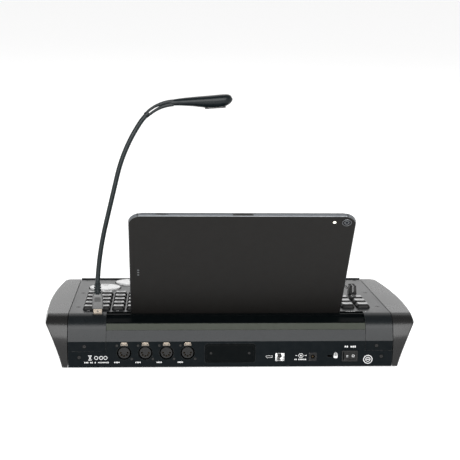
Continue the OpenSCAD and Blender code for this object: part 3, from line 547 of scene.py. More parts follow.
def piece(name, build, body, materials, stands_for=(), sharp=35):
    """Makes one piece from what a Build collected, riding on a body."""
    mesh = bpy.data.meshes.new(name)
    mesh.from_pydata(build.points, [], build.faces)
    for material in materials:
        mesh.materials.append(material)
    mesh.polygons.foreach_set("material_index", build.slots)
    finish_mesh(mesh, sharp)
    made = bpy.data.objects.new(name, mesh)
    bpy.context.scene.collection.objects.link(made)
    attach(made, body)
    if stands_for:
        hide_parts(*stands_for)
    return made


def even_normals(made):
    normals = made.modifiers.new("even_normals", "WEIGHTED_NORMAL")
    normals.keep_sharp = False


def add_bevel(made, width, segments):
    ease = made.modifiers.new("eased_edges", "BEVEL")
    ease.width = width * MM
    ease.segments = segments
    ease.limit_method = "ANGLE"
    ease.angle_limit = math.radians(30)
    ease.miter_outer = "MITER_ARC"
    even_normals(made)


def angle_shading():
    """Node group that shades smooth, apart from edges sharper than 12 degrees."""
    group = bpy.data.node_groups.new("angle_shading", "GeometryNodeTree")
    for way in ("INPUT", "OUTPUT"):
        group.interface.new_socket("Geometry", in_out=way, socket_type="NodeSocketGeometry")
    made = group.nodes.new
    link = group.links.new
    angle = made("GeometryNodeInputMeshEdgeAngle")
    gentle = made("FunctionNodeCompare")
    gentle.operation = "LESS_EQUAL"
    gentle.inputs[1].default_value = math.radians(12)
    link(angle.outputs["Unsigned Angle"], gentle.inputs[0])
    neighbours = made("GeometryNodeInputMeshEdgeNeighbors")
    paired = made("FunctionNodeCompare")
    paired.data_type = "INT"
    paired.operation = "EQUAL"
    count, wanted = [i for i in paired.inputs if i.type == "INT"][:2]
    wanted.default_value = 2
    link(neighbours.outputs[0], count)
    both = made("FunctionNodeBooleanMath")
    link(gentle.outputs[0], both.inputs[0])
    link(paired.outputs[0], both.inputs[1])
    faces = made("GeometryNodeSetShadeSmooth")
    edges = made("GeometryNodeSetShadeSmooth")
    edges.domain = "EDGE"
    link(made("NodeGroupInput").outputs[0], faces.inputs["Geometry"])
    link(faces.outputs[0], edges.inputs["Geometry"])
    link(both.outputs[0], edges.inputs["Shade Smooth"])
    link(edges.outputs[0], made("NodeGroupOutput").inputs[0])
    return group


ANGLE_SHADING = angle_shading()


def dress(node, material):
    """Gives a CAD node a new material and drops its shading marks; its points stay as they are."""
    made = NODES[node]
    mesh = made.data
    mesh.materials.clear()
    mesh.materials.append(material)
    for name in ("custom_normal", "sharp_edge"):
        if name in mesh.attributes:
            mesh.attributes.remove(mesh.attributes[name])
    weld = made.modifiers.new("weld", "WELD")
    weld.merge_threshold = 0.002 * MM
    return made


def keep_crisp(node, material):
    """Keeps a CAD node with its own edges and a better material, smooth where it curves."""
    made = dress(node, material)
    if "sharp_face" in made.data.attributes:
        made.data.attributes.remove(made.data.attributes["sharp_face"])
    shade = made.modifiers.new("angle_shading", "NODES")
    shade.node_group = ANGLE_SHADING


def keep(node, material, bevel=0.2, segments=2):
    """Keeps a CAD node, with eased edges and a better material."""
    made = dress(node, material)
    made.data.polygons.foreach_set("use_smooth", [True] * len(made.data.polygons))
    merge = made.modifiers.new("merge_flats", "DECIMATE")
    merge.decimate_type = "DISSOLVE"
    merge.angle_limit = math.radians(0.6)
    if bevel:
        add_bevel(made, bevel, segments)
    else:
        even_normals(made)


# ---- case


def keep_case():
    keep_crisp("top_cover", PAINT)
    keep_crisp("lower_tray", PAINT)
    keep("tablet_dock", DOCK_SKIN, 0.4, 3)
    keep("dock_pads", RUBBER, 0.2)
    keep("rear_trim_strip", STRIP, 0.4, 3)
    keep("feet", RUBBER, 0.6, 3)
    keep("case_screws", DARK_STEEL, 0.12)
    keep("panel_screws", DARK_STEEL, 0.1)
    for board in ("main_board", "key_board", "fader_board"):
        keep(board, BOARD, 0)
    keep("fader_bodies", STEEL, 0.3)
    keep("encoder_bodies", STEEL, 0.3)
    keep("key_switches", SATIN_BLACK, 0.2)
    keep("ribbon_cables", CABLE, 0.1)
    keep("board_screws", STEEL, 0.2)
    keep("xlr_shells", DOCK_SKIN, 0.3)
    keep("xlr_inserts", INSERT_BLACK, 0.25)
    keep("contact_pins", GOLD, 0.08)
    keep("port_cover", DOCK_SKIN, 0.35, 3)
    keep("port_shells", STEEL, 0.08)
    keep("port_inserts", SCREW_BLACK, 0.12)
    keep("switch_body", INSERT_BLACK, 0.35, 3)
    keep("switch_rocker", SCREW_BLACK, 0.4, 3)


SEAM = 0.9  # between the metalwork and a cheek
BAND = 10.0  # height of the band under the deck's level
BAND_OUT = 3.5
BOW_RADIUS = 1220.0
BOW_MIDDLE = 100.0  # along the deck
FLANK_IN = 19.6
FLANK_RADIUS = 258.0
FACET_LEAN = 22.1  # degrees from upright
CREST_RADIUS = 23.5
CORNER_RADIUS = 9.0  # of the cheek's front corner, seen from above
REAR_BLEND = 50.0  # radius that softens the cheek's corner between its facet and its rear face
EDGE_RADIUS = 1.6


class CheekShape:
    """Shape of a cheek in the millimetres of PLAIN: its side section, and how far out it stands."""

    def __init__(self):
        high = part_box("left_cheek")[1]
        origin = (DECK.translation - ORIGIN) / MM
        self.half_width = high.x / MM - BAND_OUT
        self.depth = (high.y - ORIGIN.y) / MM
        self.slope = -ALONG.z / ALONG.y
        self.tilt = math.atan(self.slope)
        self.lean = math.radians(FACET_LEAN)
        self.crest_y, self.crest_z = origin.y, origin.z
        # circle that joins the facet to the deck
        self.mid_y = self.crest_y - CREST_RADIUS * math.sin(self.tilt)
        self.mid_z = self.crest_z - CREST_RADIUS * math.cos(self.tilt)
        touch_y = self.mid_y - CREST_RADIUS * math.cos(self.lean)
        wall_top = self.mid_z + CREST_RADIUS * math.sin(self.lean) - touch_y / math.tan(self.lean)
        self.blend_low = wall_top - REAR_BLEND * math.tan(self.lean / 2)

    def deck_level(self, y):
        return self.crest_z - (y - self.crest_y) * self.slope

    def blend_y(self, turn, inset):
        """Depth of the softened corner, part of the way from its rear face to its facet."""
        return REAR_BLEND - (REAR_BLEND - inset) * math.cos(turn)

    def facet_end(self, inset):
        """Where the facet meets the crest's circle, a distance inside the outline."""
        r = CREST_RADIUS - inset
        return self.mid_y - r * math.cos(self.lean), self.mid_z + r * math.sin(self.lean)

    def top(self, y, inset):
        """Height of the section's upper outline at a depth, a distance inside it."""
        if y < self.blend_y(self.lean, inset):
            r = REAR_BLEND - inset
            return self.blend_low + math.sqrt(max(r * r - (REAR_BLEND - y) ** 2, 0))
        if y >= self.crest_y + inset * math.sin(self.tilt):
            return self.deck_level(y) - inset / math.cos(self.tilt)
        touch_y, touch_z = self.facet_end(inset)
        if y >= touch_y:
            r = CREST_RADIUS - inset
            return self.mid_z + math.sqrt(max(r * r - (y - self.mid_y) ** 2, 0))
        return touch_z - (touch_y - y) / math.tan(self.lean)

    def out_x(self, y, z):
        """How far out the cheek stands at a depth and height."""
        bow = y - self.crest_y - BOW_MIDDLE
        x = self.half_width - BOW_RADIUS + math.sqrt(BOW_RADIUS**2 - bow**2)
        past = y - (self.depth - CORNER_RADIUS)
        if past > 0:
            x -= CORNER_RADIUS - math.sqrt(max(CORNER_RADIUS**2 - past * past, 0))
        drop = self.deck_level(y) - BAND - z
        soft = (drop + math.sqrt(drop * drop + 0.3)) / 2
        x += BAND_OUT * (drop + BAND - soft) / BAND
        full = self.crest_z - BAND
        sag = full * full / (8 * FLANK_RADIUS)
        share = soft / full
        return x - FLANK_IN * share - 4 * sag * share * (1 - share)

    def columns(self, inset):
        """Depths at which the section is cut, closer together where it curves."""
        facet_start = self.blend_y(self.lean, inset)
        corner_start = self.depth - CORNER_RADIUS
        found = [self.blend_y(self.lean * i / 12, inset) for i in range(12)]
        found += [facet_start + (self.crest_y - facet_start) * i / 22 for i in range(22)]
        found += [self.crest_y + (corner_start - self.crest_y) * i / 34 for i in range(34)]
        turns = [math.pi / 2 * i / 12 for i in range(13)]
        return found + [corner_start + (CORNER_RADIUS - inset) * math.sin(turn) for turn in turns]

    def column(self, y, inset):
        """Points down one cut, closer together round the crease under the band."""
        upper = self.top(y, inset)
        crease = min(max(self.deck_level(y) - BAND, inset), upper)
        rows = [upper + (crease + 2.4 - upper) * i / 4 for i in range(4)]
        rows += [crease + offset for offset in (2.4, 1.2, 0.5, 0, -0.5, -1.2, -2.4)]
        rows += [crease - 2.4 + (inset - crease + 2.4) * i / 16 for i in range(1, 17)]
        return [(y, min(max(z, inset), upper)) for z in rows]

    def upward(self, y, z, inset):
        """Outward direction of the section's upper outline."""
        if y >= self.crest_y:
            return math.sin(self.tilt), math.cos(self.tilt)
        if y >= self.facet_end(inset)[0]:
            r = CREST_RADIUS - inset
            return (y - self.mid_y) / r, (z - self.mid_z) / r
        if y < self.blend_y(self.lean, inset):
            r = REAR_BLEND - inset
            return (y - REAR_BLEND) / r, (z - self.blend_low) / r
        return -math.cos(self.lean), math.sin(self.lean)


def cheek_border(shape, grid, inset):
    """Points round the grid's border, each with the outward direction of the outline there."""
    wide, height = len(grid), len(grid[0])
    border = [(i, 0) for i in range(wide)]
    border += [(wide - 1, j) for j in range(1, height)]
    border += [(i, height - 1) for i in range(wide - 2, -1, -1)]
    border += [(0, j) for j in range(height - 2, 0, -1)]
    found = []
    for i, j in border:
        y, z = grid[i][j]
        sides = [shape.upward(y, z, inset)] if j == 0 else []
        if j == height - 1:
            sides.append((0, -1))
        if i == 0:
            sides.append((-1, 0))
        if i == wide - 1:
            sides.append((1, 0))
        (a, b), (c, d) = sides[0], sides[-1]
        share = 1 + a * c + b * d
        found.append((y, z, (a + c) / share, (b + d) / share))
    return found


def make_cheeks():
    """Each cheek is a grid of points over its side section, with rolled edges round it."""
    shape = CheekShape()
    inset = EDGE_RADIUS
    inner_x = span("top_cover", ACROSS)[1] + SEAM
    grid = [shape.column(y, inset) for y in shape.columns(inset)]
    border = cheek_border(shape, grid, inset)
    wide, height = len(grid), len(grid[0])
    starts = [i * height + j for i in range(wide - 1) for j in range(height - 1)]
    faces = [(a, a + 1, a + height + 1, a + height) for a in starts]
    for side, name in ((1, "left"), (-1, "right")):
        build = Build()
        build.add([(side * shape.out_x(y, z), y, z) for column in grid for y, z in column], faces, PLAIN)
        rings = []
        for k in range(6):
            angle = math.pi / 2 * k / 5
            reach = inset * math.sin(angle)
            sink = inset * (1 - math.cos(angle))
            rings.append([
                (side * (shape.out_x(y, z) - sink), y + out_y * reach, z + out_z * reach)
                for y, z, out_y, out_z in border
            ])
        rings.append([(side * inner_x, point[1], point[2]) for point in rings[-1]])
        build.loft(rings, PLAIN, start=False)
        node = name + "_cheek"
        piece(node + "_skin", build, "desk", [MOULDING], [node], sharp=40)


# ---- rear panel and printing


def make_latches():
    """Release plates over the round sockets: a low trapezoid with a raised middle, and dark bars painted
    on it as the shade in its slots.
    """
    build = Build()
    for low, high in islands("xlr_latches", REAR):
        mid = (low + high) / 2
        place = rear_at(mid.x, mid.y)
        half_w, half_h = high.x - mid.x, high.y - mid.y
        rings = []
        for out, ease in ((-8.8, 0.3), (-8.6, 0), (0.3, 0), (0.75, 0.15), (0.9, 0.5)):
            rings.append([
                (-half_w + ease, -half_h + ease, out), (half_w - ease, -half_h + ease, out),
                (half_w - ease, half_h * 0.1, out), (half_w * 0.72, half_h - ease, out),
                (-half_w * 0.72, half_h - ease, out), (-half_w + ease, half_h * 0.1, out),
            ])
        build.loft(rings, place, 0)
        tab = shifted(place, 0, half_h * 0.25)
        build.block((half_w, half_h * 0.8), 0.6, 1.35, tab, 0, 0.5, 0.2)
        # dark bars at the sides and foot, painted as the shade in the plate's slots
        for side in (-1, 1):
            slot = shifted(place, side * half_w * 0.68, half_h * 0.05)
            build.block((1.1, half_h * 0.9), 0.5, 1.0, slot, 1, 0.4, 0.05)
        foot = shifted(place, 0, -half_h * 0.72)
        build.block((half_w * 1.7, 0.5), 0.5, 0.98, foot, 1, 0.2, 0.05)
    piece("latch_plates", build, "xlr_latches", [PLATED, SATIN_BLACK], ["xlr_latches"])


INK_HEIGHT = 0.05
SMALL_ROWS = [f"small_keys_{i}" for i in range(1, 6)]
LARGE_ROWS = [f"large_keys_{i}" for i in range(1, 4)]


class Print:
    """Marks printed on a face, in the millimetres of the face's own plane."""

    def __init__(self, at, build=None):
        self.at = at
        self.build = build or Build()

    def bar(self, x, y, width, height):
        corner = min(width, height) * 0.3
        self.build.block((width, height), -0.01, INK_HEIGHT, self.at(x, y), 0, corner, 0.01)

    def ring(self, x, y, radius, line, steps=40):
        inner = radius - line
        low, high = -0.01, INK_HEIGHT
        profile = [(inner, low), (inner, high), (radius, high), (radius, low), (inner, low)]
        self.build.lathe(profile, self.at(x, y), 0, steps, start=False, end=False)

    def words(self, x, y, width, height, gaps=(3, 2, 4, 3)):
        """A row of short bars that stands for a line of small print, about a middle point."""
        pitch = height * 0.9
        count = max(int(width / pitch), 1)
        start = x - width / 2 + pitch / 2
        word = 0
        letters = 0
        for k in range(count):
            letters += 1
            if letters > gaps[word % len(gaps)]:
                letters = 0
                word += 1
                continue
            tall = height * (0.82 + 0.18 * ((k * 7) % 3) / 2)
            self.bar(start + k * pitch, y, pitch * 0.68, tall)


def print_rear():
    """Marks on the rear panel, placed from the sockets they belong to."""
    ink = Print(rear_at)
    for low, high in islands("xlr_inserts", REAR):
        ink.words((low + high).x / 2 - 9.4, 6.9, 8.1, 2.1, gaps=(9,))
    # plain shapes in the corner, over two lines of print
    for height, width in ((10.6, 4.8), (12.6, 2.6), (14.4, 2.6), (16.2, 4.8)):
        ink.bar(-186.5, height, width, 1.1)
    for x in (-178.4, -171.9, -166.2):
        ink.ring(x, 13.4, 2.6, 0.75)
    ink.words(-186.5, 6.9, 16, 2.2)
    ink.words(-168.3, 6.9, 16, 1.8, gaps=(12,))
    # polarity of the power socket
    low, high = islands("port_inserts", REAR)[-1]
    dc_x = (low + high).x / 2
    ink.ring(dc_x - 16, 15.5, 3.3, 0.6)
    ink.ring(dc_x - 16, 15.5, 1.1, 1.05)
    for side in (-1, 1):
        ink.bar(dc_x - 16 + side * 6, 15.5, 2.6, 0.7)
    ink.bar(dc_x - 8.7, 15.5, 0.7, 1.6)
    ink.words(dc_x - 16.3, 10.1, 17.4, 2.0, gaps=(2, 12))
    # padlock beside the lock's slot
    lock_x = dc_x + 30.6
    ink.bar(lock_x, 14.2, 5.4, 5.0)
    ink.ring(lock_x, 17.2, 2.3, 0.9)
    # switch
    ink.words(sum(span("switch_body", ACROSS)) / 2 + 1, 27.9, 17, 2.9, gaps=(2, 12))
    # plain roundel in the other corner
    ink.ring(183, 9.8, 6.2, 1.0)
    ink.ring(183, 9.8, 3.4, 0.8)
    ink.bar(183, 9.8, 4.4, 1.0)
    piece("rear_print", ink.build, "desk", [INK])


def painted_screw_shade():
    """Dark rings painted round the case's screws as the shade in their countersinks."""
    shade_rings = {"rear": Print(rear_at), "deck": Print(deck_at)}

    # a dark ring painted as the shade of one countersink
    def rim(face, box, radius, line):
        mid = (box[0] + box[1]) / 2
        shade_rings[face].ring(mid.x, mid.y, radius, line)

    for face, place, sunk in (("rear", REAR, 1), ("deck", DECK, 0.5)):
        for low, high in islands("case_screws", place):
            size = high - low
            if high.z > -sunk and max(size.x, size.y) < 7:
                rim(face, (low, high), 3.1, 0.9)
    for box in islands("panel_screws", REAR):
        rim("rear", box, 2.4, 0.7)
    for face, marks in shade_rings.items():
        piece(face + "_painted_screw_shade", marks.build, "desk", [DOCK_SKIN])


def print_rocker():
    """A line and a ring on the rocker's two faces."""
    back = REAR.inverted()
    points = [back @ Vector(p) for p in points_of("switch_rocker")]
    low, high = local_box("switch_rocker", REAR)
    mid = (low + high) / 2
    left = max(points, key=lambda p: p.z - p.x)
    right = max(points, key=lambda p: p.z + p.x)
    ridge = min(points, key=lambda p: abs(p.x - mid.x) - p.z * 0.5)
    build = Build()
    for number, end in enumerate((left, right)):
        run, rise = end.x - ridge.x, end.z - ridge.z
        tilt = math.atan2(rise, run) if run > 0 else math.atan2(-rise, -run)
        place = rear_at((end.x + ridge.x) / 2, mid.y, (end.z + ridge.z) / 2)
        place = place @ Matrix.Rotation(-tilt, 4, "Y")
        if number == 0:
            for offset in (-0.8, 0.8):
                build.block((2.8, 0.8), -0.01, INK_HEIGHT, shifted(place, 0, offset), 0, 0.2, 0.01)
        else:
            mark = Print(lambda x, y: shifted(place, x, y), build)
            mark.ring(0, 0, 1.9, 0.7)
    piece("rocker_print", build, "switch_rocker", [DIM_INK_AND_PAINTED_HIGHLIGHT])


def print_deck():
    """Legends beside the keys and scales along the faders."""
    ink = Print(deck_at)
    widths = (5.2, 3.4, 6.6, 4.4, 7.4)
    number = 0
    for node, gap in [(row, 2.6) for row in SMALL_ROWS] + [(row, 1.6) for row in LARGE_ROWS]:
        for low, high in islands(node, DECK):
            number += 1
            ink.words((low + high).x / 2, high.y + gap, widths[number % 5], 1.7, gaps=(12,))
    columns = sorted((low + high).x / 2 for low, high in islands("large_keys_1", DECK))
    first = islands("large_keys_1", DECK)[0][0].y
    crest_row = min(first * 0.22, 6)
    ink.words(columns[-1], crest_row, 4.2, 2.6, gaps=(12,))
    ink.words(columns[-2], crest_row, 15, 2.6, gaps=(12,))
    for low, high in islands("small_keys_1", DECK)[::2]:
        ink.words((low + high).x / 2, low.y - 4.2, 6, 2.4, gaps=(12,))
    piece("deck_legends", ink.build, "desk", [INK])
    scale = Print(deck_at)
    travel = JOINTS["fader_1_slide"]["range_m"][1] / MM
    for i in range(1, 11):
        low, high = local_box(f"fader_{i}", DECK)
        mid = (low + high) / 2
        for tick in range(11):
            width = 3.6 if tick % 5 == 0 else 2.2
            for side in (-1, 1):
                scale.bar(mid.x + side * (3.4 + width / 2), mid.y + travel * tick / 10, width, 0.5)
        scale.words(mid.x, mid.y + travel + 12, 8, 1.8, gaps=(12,))
    piece("fader_scales", scale.build, "desk", [DIM_INK_AND_PAINTED_HIGHLIGHT])


# ---- keys


def add_key(build, place, base, top, tall, dish):
    """A key cap: an upright foot, sloped sides painted dark as shade, a rolled rim and a glossy hollowed
    top painted lighter as a lit face.
    """
    width, depth = base
    top_width, top_depth = top
    rings = [
        rounded_ring(width - 0.6, depth - 0.6, 3.0, -1.4),
        rounded_ring(width, depth, 3.4, -0.4),
        rounded_ring(width, depth, 3.4, 1.5),
        rounded_ring(width - 0.25, depth - 0.25, 3.3, 1.9),
        rounded_ring(top_width + 0.7, top_depth + 0.7, 2.7, tall - 0.75),
        rounded_ring(top_width + 0.15, top_depth + 0.15, 2.5, tall - 0.35),
        rounded_ring(top_width - 0.5, top_depth - 0.5, 2.2, tall - 0.08),
        rounded_ring(top_width - 1.2, top_depth - 1.2, 1.9, tall),
    ]
    bands = [0, 0, 0, 0, 0, 1, 1]
    for share in (0.86, 0.68, 0.5, 0.32, 0.14):
        ring = []
        for x, y in rounded_rect(top_width - 1.2, top_depth - 1.2, 1.9):
            sink = dish * (1 - share**2)
            ring.append((x * share, y * share, tall - sink))
        rings.append(ring)
        bands.append(1)
    build.loft(rings, place, bands)


FLANGE = 1.4  # by which a key's hidden flange is wider than its cap


def make_keys():
    rows = [(node, (4.3, 3.2), 0.55) for node in SMALL_ROWS]
    rows += [(node, (4.6, 4.6), 0.35) for node in LARGE_ROWS]
    for node, taper, dish in rows:
        build = Build()
        for low, high in islands(node, DECK):
            mid = (low + high) / 2
            base = (high.x - low.x - FLANGE, high.y - low.y - FLANGE)
            top = (base[0] - taper[0], base[1] - taper[1])
            add_key(build, deck_at(mid.x, mid.y), base, top, high.z, dish)
        piece(node + "_caps", build, node, [KEY_SIDE_PAINTED_SHADE, KEY_TOP_PAINTED_LIGHT], [node])


# ---- faders and wheels


def make_faders():
    for i in range(1, 11):
        node = f"fader_{i}"
        low, high = local_box(node, DECK)
        mid = (low + high) / 2
        place = deck_at(mid.x, mid.y)
        half = high.y - mid.y
        width = high.x - mid.x
        build = Build()
        rings = []
        stations = 24
        for k in range(stations + 1):
            y = -half + 2 * half * k / stations
            end = min(y + half, half - y)
            ease = 0.9 - math.sqrt(max(0.81 - max(0.9 - end, 0) ** 2, 0)) if end < 0.9 else 0
            dip = 1.5 * (1 - (y / half) ** 2)
            ridge = 0.18 * math.cos(2 * math.pi * y / 2.0) if abs(y) > 1.2 and end > 1 else 0
            groove = 0.5 if abs(y) < 0.5 else 0
            tall = high.z - dip + ridge - groove - ease
            foot = width - ease
            shoulder = width - 1.2 - ease
            rings.append([
                (-foot + 0.4, y, 0.7), (foot - 0.4, y, 0.7), (foot, y, 1.1), (foot - 0.35, y, 3.8),
                (shoulder + 0.05, y, tall - 0.9), (shoulder - 0.25, y, tall - 0.25),
                (shoulder - 0.9, y, tall), (-shoulder + 0.9, y, tall),
                (-shoulder + 0.25, y, tall - 0.25), (-shoulder - 0.05, y, tall - 0.9),
                (-foot + 0.35, y, 3.8), (-foot, y, 1.1),
            ])
        build.loft(rings, place, 0)
        # light stripe over the top and down both ends, a painted highlight
        build.block((0.9, 2 * half - 2.4), high.z - 2.2, high.z - 0.62, place, 1, 0.2, 0.1)
        for side in (-1, 1):
            edge = shifted(place, 0, side * (half - 0.42))
            build.block((0.9, 1.0), 4.2, high.z - 0.4, edge, 1, 0.2, 0.1)
        # lever and carriage
        build.block((1.2, 4.2), -7, 3, place, 2, 0.2, 0.1)
        build.block((7, 8), -8.9, -5, place, 2, 0.6, 0.3)
        piece(node + "_cap", build, node, [SMOKED, DIM_INK_AND_PAINTED_HIGHLIGHT, STEEL], [node])


def make_wheels():
    for i in range(1, 5):
        node = f"wheel_{i}"
        low, high = local_box(node, DECK)
        mid = (low + high) / 2
        place = deck_at(mid.x, mid.y)
        radius = high.x - mid.x
        top = high.z
        dimple_at, dimple_r, dimple_deep = radius - 9.5, 6.6, 1.7
        steps = 120
        profile = [
            (3.2, -5.0), (radius - 0.8, -5.0), (radius, -4.4), (radius, top - 1.0),
            (radius - 0.1, top - 0.6), (radius - 0.4, top - 0.2), (radius - 0.9, top),
        ]
        profile += [(radius - 1.2 - k * (radius - 1.8) / 16, top - 0.12) for k in range(17)]
        rings = []
        for number, (r, z) in enumerate(profile):
            ring = []
            for j in range(steps):
                angle = 2 * math.pi * j / steps
                grip = 0.22 if 1 <= number <= 3 and j % 2 else 0
                x, y = (r - grip) * math.cos(angle), (r - grip) * math.sin(angle)
                away = math.hypot(x, y - dimple_at) / dimple_r
                sink = dimple_deep * (1 - away * away) ** 2 if away < 1 and number > 5 else 0
                ring.append((x, y, z - sink))
            rings.append(ring)
        build = Build()
        build.loft(rings, place, 0)
        build.lathe([(3.0, -9.2), (3.0, -1.6), (2.7, -1.3)], place, 1, 32)
        piece(node + "_disc", build, node, [WHEEL, STEEL], [node])


# ---- lamp

PIVOTS = [
    Vector(JOINTS[name]["pos_m"])
    for name in ("neck_lower_bend", "neck_middle_bend", "neck_upper_bend", "lamp_head_bend")
]


def lean_of(direction):
    """Lean of a direction from upright, in the plane the lamp bends in, in degrees."""
    return math.degrees(math.atan2(direction.dot(ACROSS), direction.dot(OUT)))


CHORDS = [lean_of(PIVOTS[i + 1] - PIVOTS[i]) for i in range(3)]
LEANS = [2 * CHORDS[0] - CHORDS[1], CHORDS[1], CHORDS[1], 2 * CHORDS[2] - CHORDS[1]]
CROOK_LENGTH, CROOK_BEND = 17.0, 15.0
FORK_LENGTH = 36.0
HEAD_LEAN = 86.0
HEAD_LENGTH = 80.0
NECK_RADIUS = 3.15


def lamp_frame(point, lean):
    """Place whose Z runs on up the lamp and whose X is towards the inside of the bend."""
    a = math.radians(lean)
    x_axis = ACROSS * math.cos(a) - OUT * math.sin(a)
    z_axis = ACROSS * math.sin(a) + OUT * math.cos(a)
    return axes_at(point, x_axis, ALONG, z_axis)


def past_arc(place, length, bend):
    """The place at the end of an arc that starts at a place."""
    if abs(bend) < 1e-3:
        return shifted(place, 0, 0, length)
    r = length / math.radians(bend)
    a = math.radians(bend)
    move = Matrix.Translation((r * (1 - math.cos(a)), 0, r * math.sin(a)))
    return place @ move @ Matrix.Rotation(a, 4, "Y")


def neck_places(segment, share_from, share_to, steps):
    """Places along one of the neck's three segments."""
    length = arc_length(segment)
    bend = LEANS[segment + 1] - LEANS[segment]
    start = lamp_frame(PIVOTS[segment], LEANS[segment])
    places = []
    for k in range(steps + 1):
        share = share_from + (share_to - share_from) * k / steps
        places.append(past_arc(start, length * share, bend * share))
    return places


def arc_length(segment):
    chord = (PIVOTS[segment + 1] - PIVOTS[segment]).length / MM
    half = math.radians(LEANS[segment + 1] - LEANS[segment]) / 2
    return chord * half / math.sin(half) if abs(half) > 1e-6 else chord


def tube(build, places, radii, steps):
    """Skins circles at places, with a radius for each place."""
    rings = []
    for place, radius in zip(places, radii):
        rings.append([place @ Vector(point) for point in circle(radius, steps)])
    build.loft(rings, Matrix.Identity(4))


def head_start():
    return lamp_frame(PIVOTS[3], LEANS[3])


def make_neck():
    """Four tubes, each curved through one joint's place, that meet half way between the joints."""
    bodies = ["lamp", "neck_lower", "neck_middle", "neck_upper", "lamp_head"]
    reach = 33 * MM
    for joint in range(4):
        places = []
        if joint > 0:
            places += neck_places(joint - 1, 0.5, 1, 14)[:-1]
        else:
            places.append(shifted(lamp_frame(PIVOTS[0], 0), 0, 0, -3))  # inside the strain relief
        if joint < 3:
            places += neck_places(joint, 0, 0.5, 14)
        else:
            start = head_start()
            places += [
                past_arc(start, CROOK_LENGTH * k / 10, CROOK_BEND * k / 10) for k in range(11)
            ]
        build = Build()
        tube(build, places, [NECK_RADIUS] * len(places), 28)
        stands_for = [bodies[joint]] if 1 <= joint <= 3 else []
        made = piece(
            f"neck_tube_{joint + 1}", build, bodies[joint], [NECK_SKIN], stands_for, sharp=50
        )
        del made["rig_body"]
        made.parent = None
        pivot = PIVOTS[joint]
        onward = lamp_frame(pivot, LEANS[joint]).col[2].xyz.normalized()
        start = pivot if joint == 0 else pivot - onward * reach
        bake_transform(made)


LAMP_ALONG = 2.05  # where the plug and grip stand, from the crest


def make_lamp_base():
    low, high = local_box("lamp_plug", DECK)
    mid = (low + high) / 2
    place = deck_at(mid.x, LAMP_ALONG)
    grip_low = local_box("lamp_grip", DECK)[0].z
    build = Build()
    # metal tongue of the plug: a rolled shell, with a dark patch painted on each face as the shade in its
    # square window
    build.block((12, 4.5), -6.5, grip_low - 0.1, place, 0, 0.8, 0.25)
    for side in (-1, 1):
        build.block((1.8, 0.3), 1.4, 3.2, shifted(place, 0, side * 2.14), 1, 0.1, 0.05)
    piece("lamp_plug_shell", build, "lamp", [PLATED, SATIN_BLACK], ["lamp_plug"])

    build = Build()
    grip_high = grip_low + 20.7
    rings = []
    for height, width, depth, corner in (
        (0, 13.6, 7.4, 1.6), (0.4, 14.5, 7.9, 1.8), (1.4, 14.6, 8.0, 1.8), (9, 14.3, 7.9, 1.8),
        (16.2, 13.8, 7.7, 1.9), (17.8, 13.4, 7.5, 2.1), (19.2, 12.2, 7.1, 2.4), (20.2, 10.6, 6.6, 2.7),
        (20.7, 9.0, 6.2, 2.9),
    ):
        rings.append(rounded_ring(width, depth, corner, grip_low + height))
    build.loft(rings, place, 0)
    for side in (-1, 1):
        # a flush dark panel painted as the shade of a recess, and three fine ridges under it
        face = turned(shifted(place, 0, side * 3.78, grip_low + 10.6), 90, "X")
        build.block((8.6, 10.4), -0.16, 0.16, face, 1, 2.2, 0.1)
        for k in range(3):
            ridge = shifted(place, 0, side * 3.86, grip_low + 2.2 + k * 0.9)
            build.block((9.4, 0.5), -0.2, 0.2, ridge, 0, 0.15, 0.1)
    # strain relief: a tapered sleeve cut by ring grooves
    profile = [(2.0, grip_high - 1.5), (4.6, grip_high - 1.2)]
    top = (place.inverted() @ PIVOTS[0]).z
    rib = (top - grip_high) / 4.4
    for k in range(4):
        base = grip_high + 0.3 + k * rib
        outer = 5.1 - 0.1 * k
        profile += [
            (outer - 1.6, base), (outer - 0.25, base + 0.04 * rib), (outer, base + 0.14 * rib),
            (outer, base + 0.5 * rib), (outer - 0.25, base + 0.6 * rib), (outer - 1.6, base + 0.64 * rib),
        ]
    profile += [(3.6, top - 0.6), (3.5, top), (3.0, top + 0.1)]
    build.lathe(profile, place, 2, 40)
    piece("lamp_grip_body", build, "lamp", [GRIP_SKIN, SATIN_BLACK, NECK_SKIN], ["lamp_grip"])


# share of the head's length, half thickness upwards and downwards, and half width
HEAD_SECTIONS = [
    (0.0, 4.0, 3.9, 4.2), (0.08, 4.8, 3.8, 5.2), (0.2, 5.6, 4.6, 7.5), (0.37, 6.2, 6.3, 9.6),
    (0.5, 6.5, 8.2, 10.8), (0.63, 6.7, 9.8, 11.6), (0.75, 7.0, 10.2, 11.8), (0.87, 7.1, 9.0, 11.0),
    (0.94, 6.5, 6.4, 8.8), (0.98, 4.6, 4.0, 5.6), (1.0, 1.3, 1.3, 2.0),
]


def smooth_sections(table, steps):
    """Reads a table of sections at even steps, with easing between its rows."""
    out = []
    for k in range(steps + 1):
        t = k / steps
        i = max(j for j in range(len(table) - 1) if table[j][0] <= t + 1e-9)
        a, b = table[i], table[i + 1]
        before = table[max(i - 1, 0)]
        after = table[min(i + 2, len(table) - 1)]
        s = (t - a[0]) / (b[0] - a[0])
        row = [t]
        for c in range(1, len(a)):
            gap = b[0] - a[0]
            m0 = (b[c] - before[c]) / max(b[0] - before[0], 1e-6) * gap
            m1 = (after[c] - a[c]) / max(after[0] - a[0], 1e-6) * gap
            row.append(
                (2 * s**3 - 3 * s**2 + 1) * a[c] + (s**3 - 2 * s**2 + s) * m0
                + (-2 * s**3 + 3 * s**2) * b[c] + (s**3 - s**2) * m1
            )
        out.append(row)
    return out


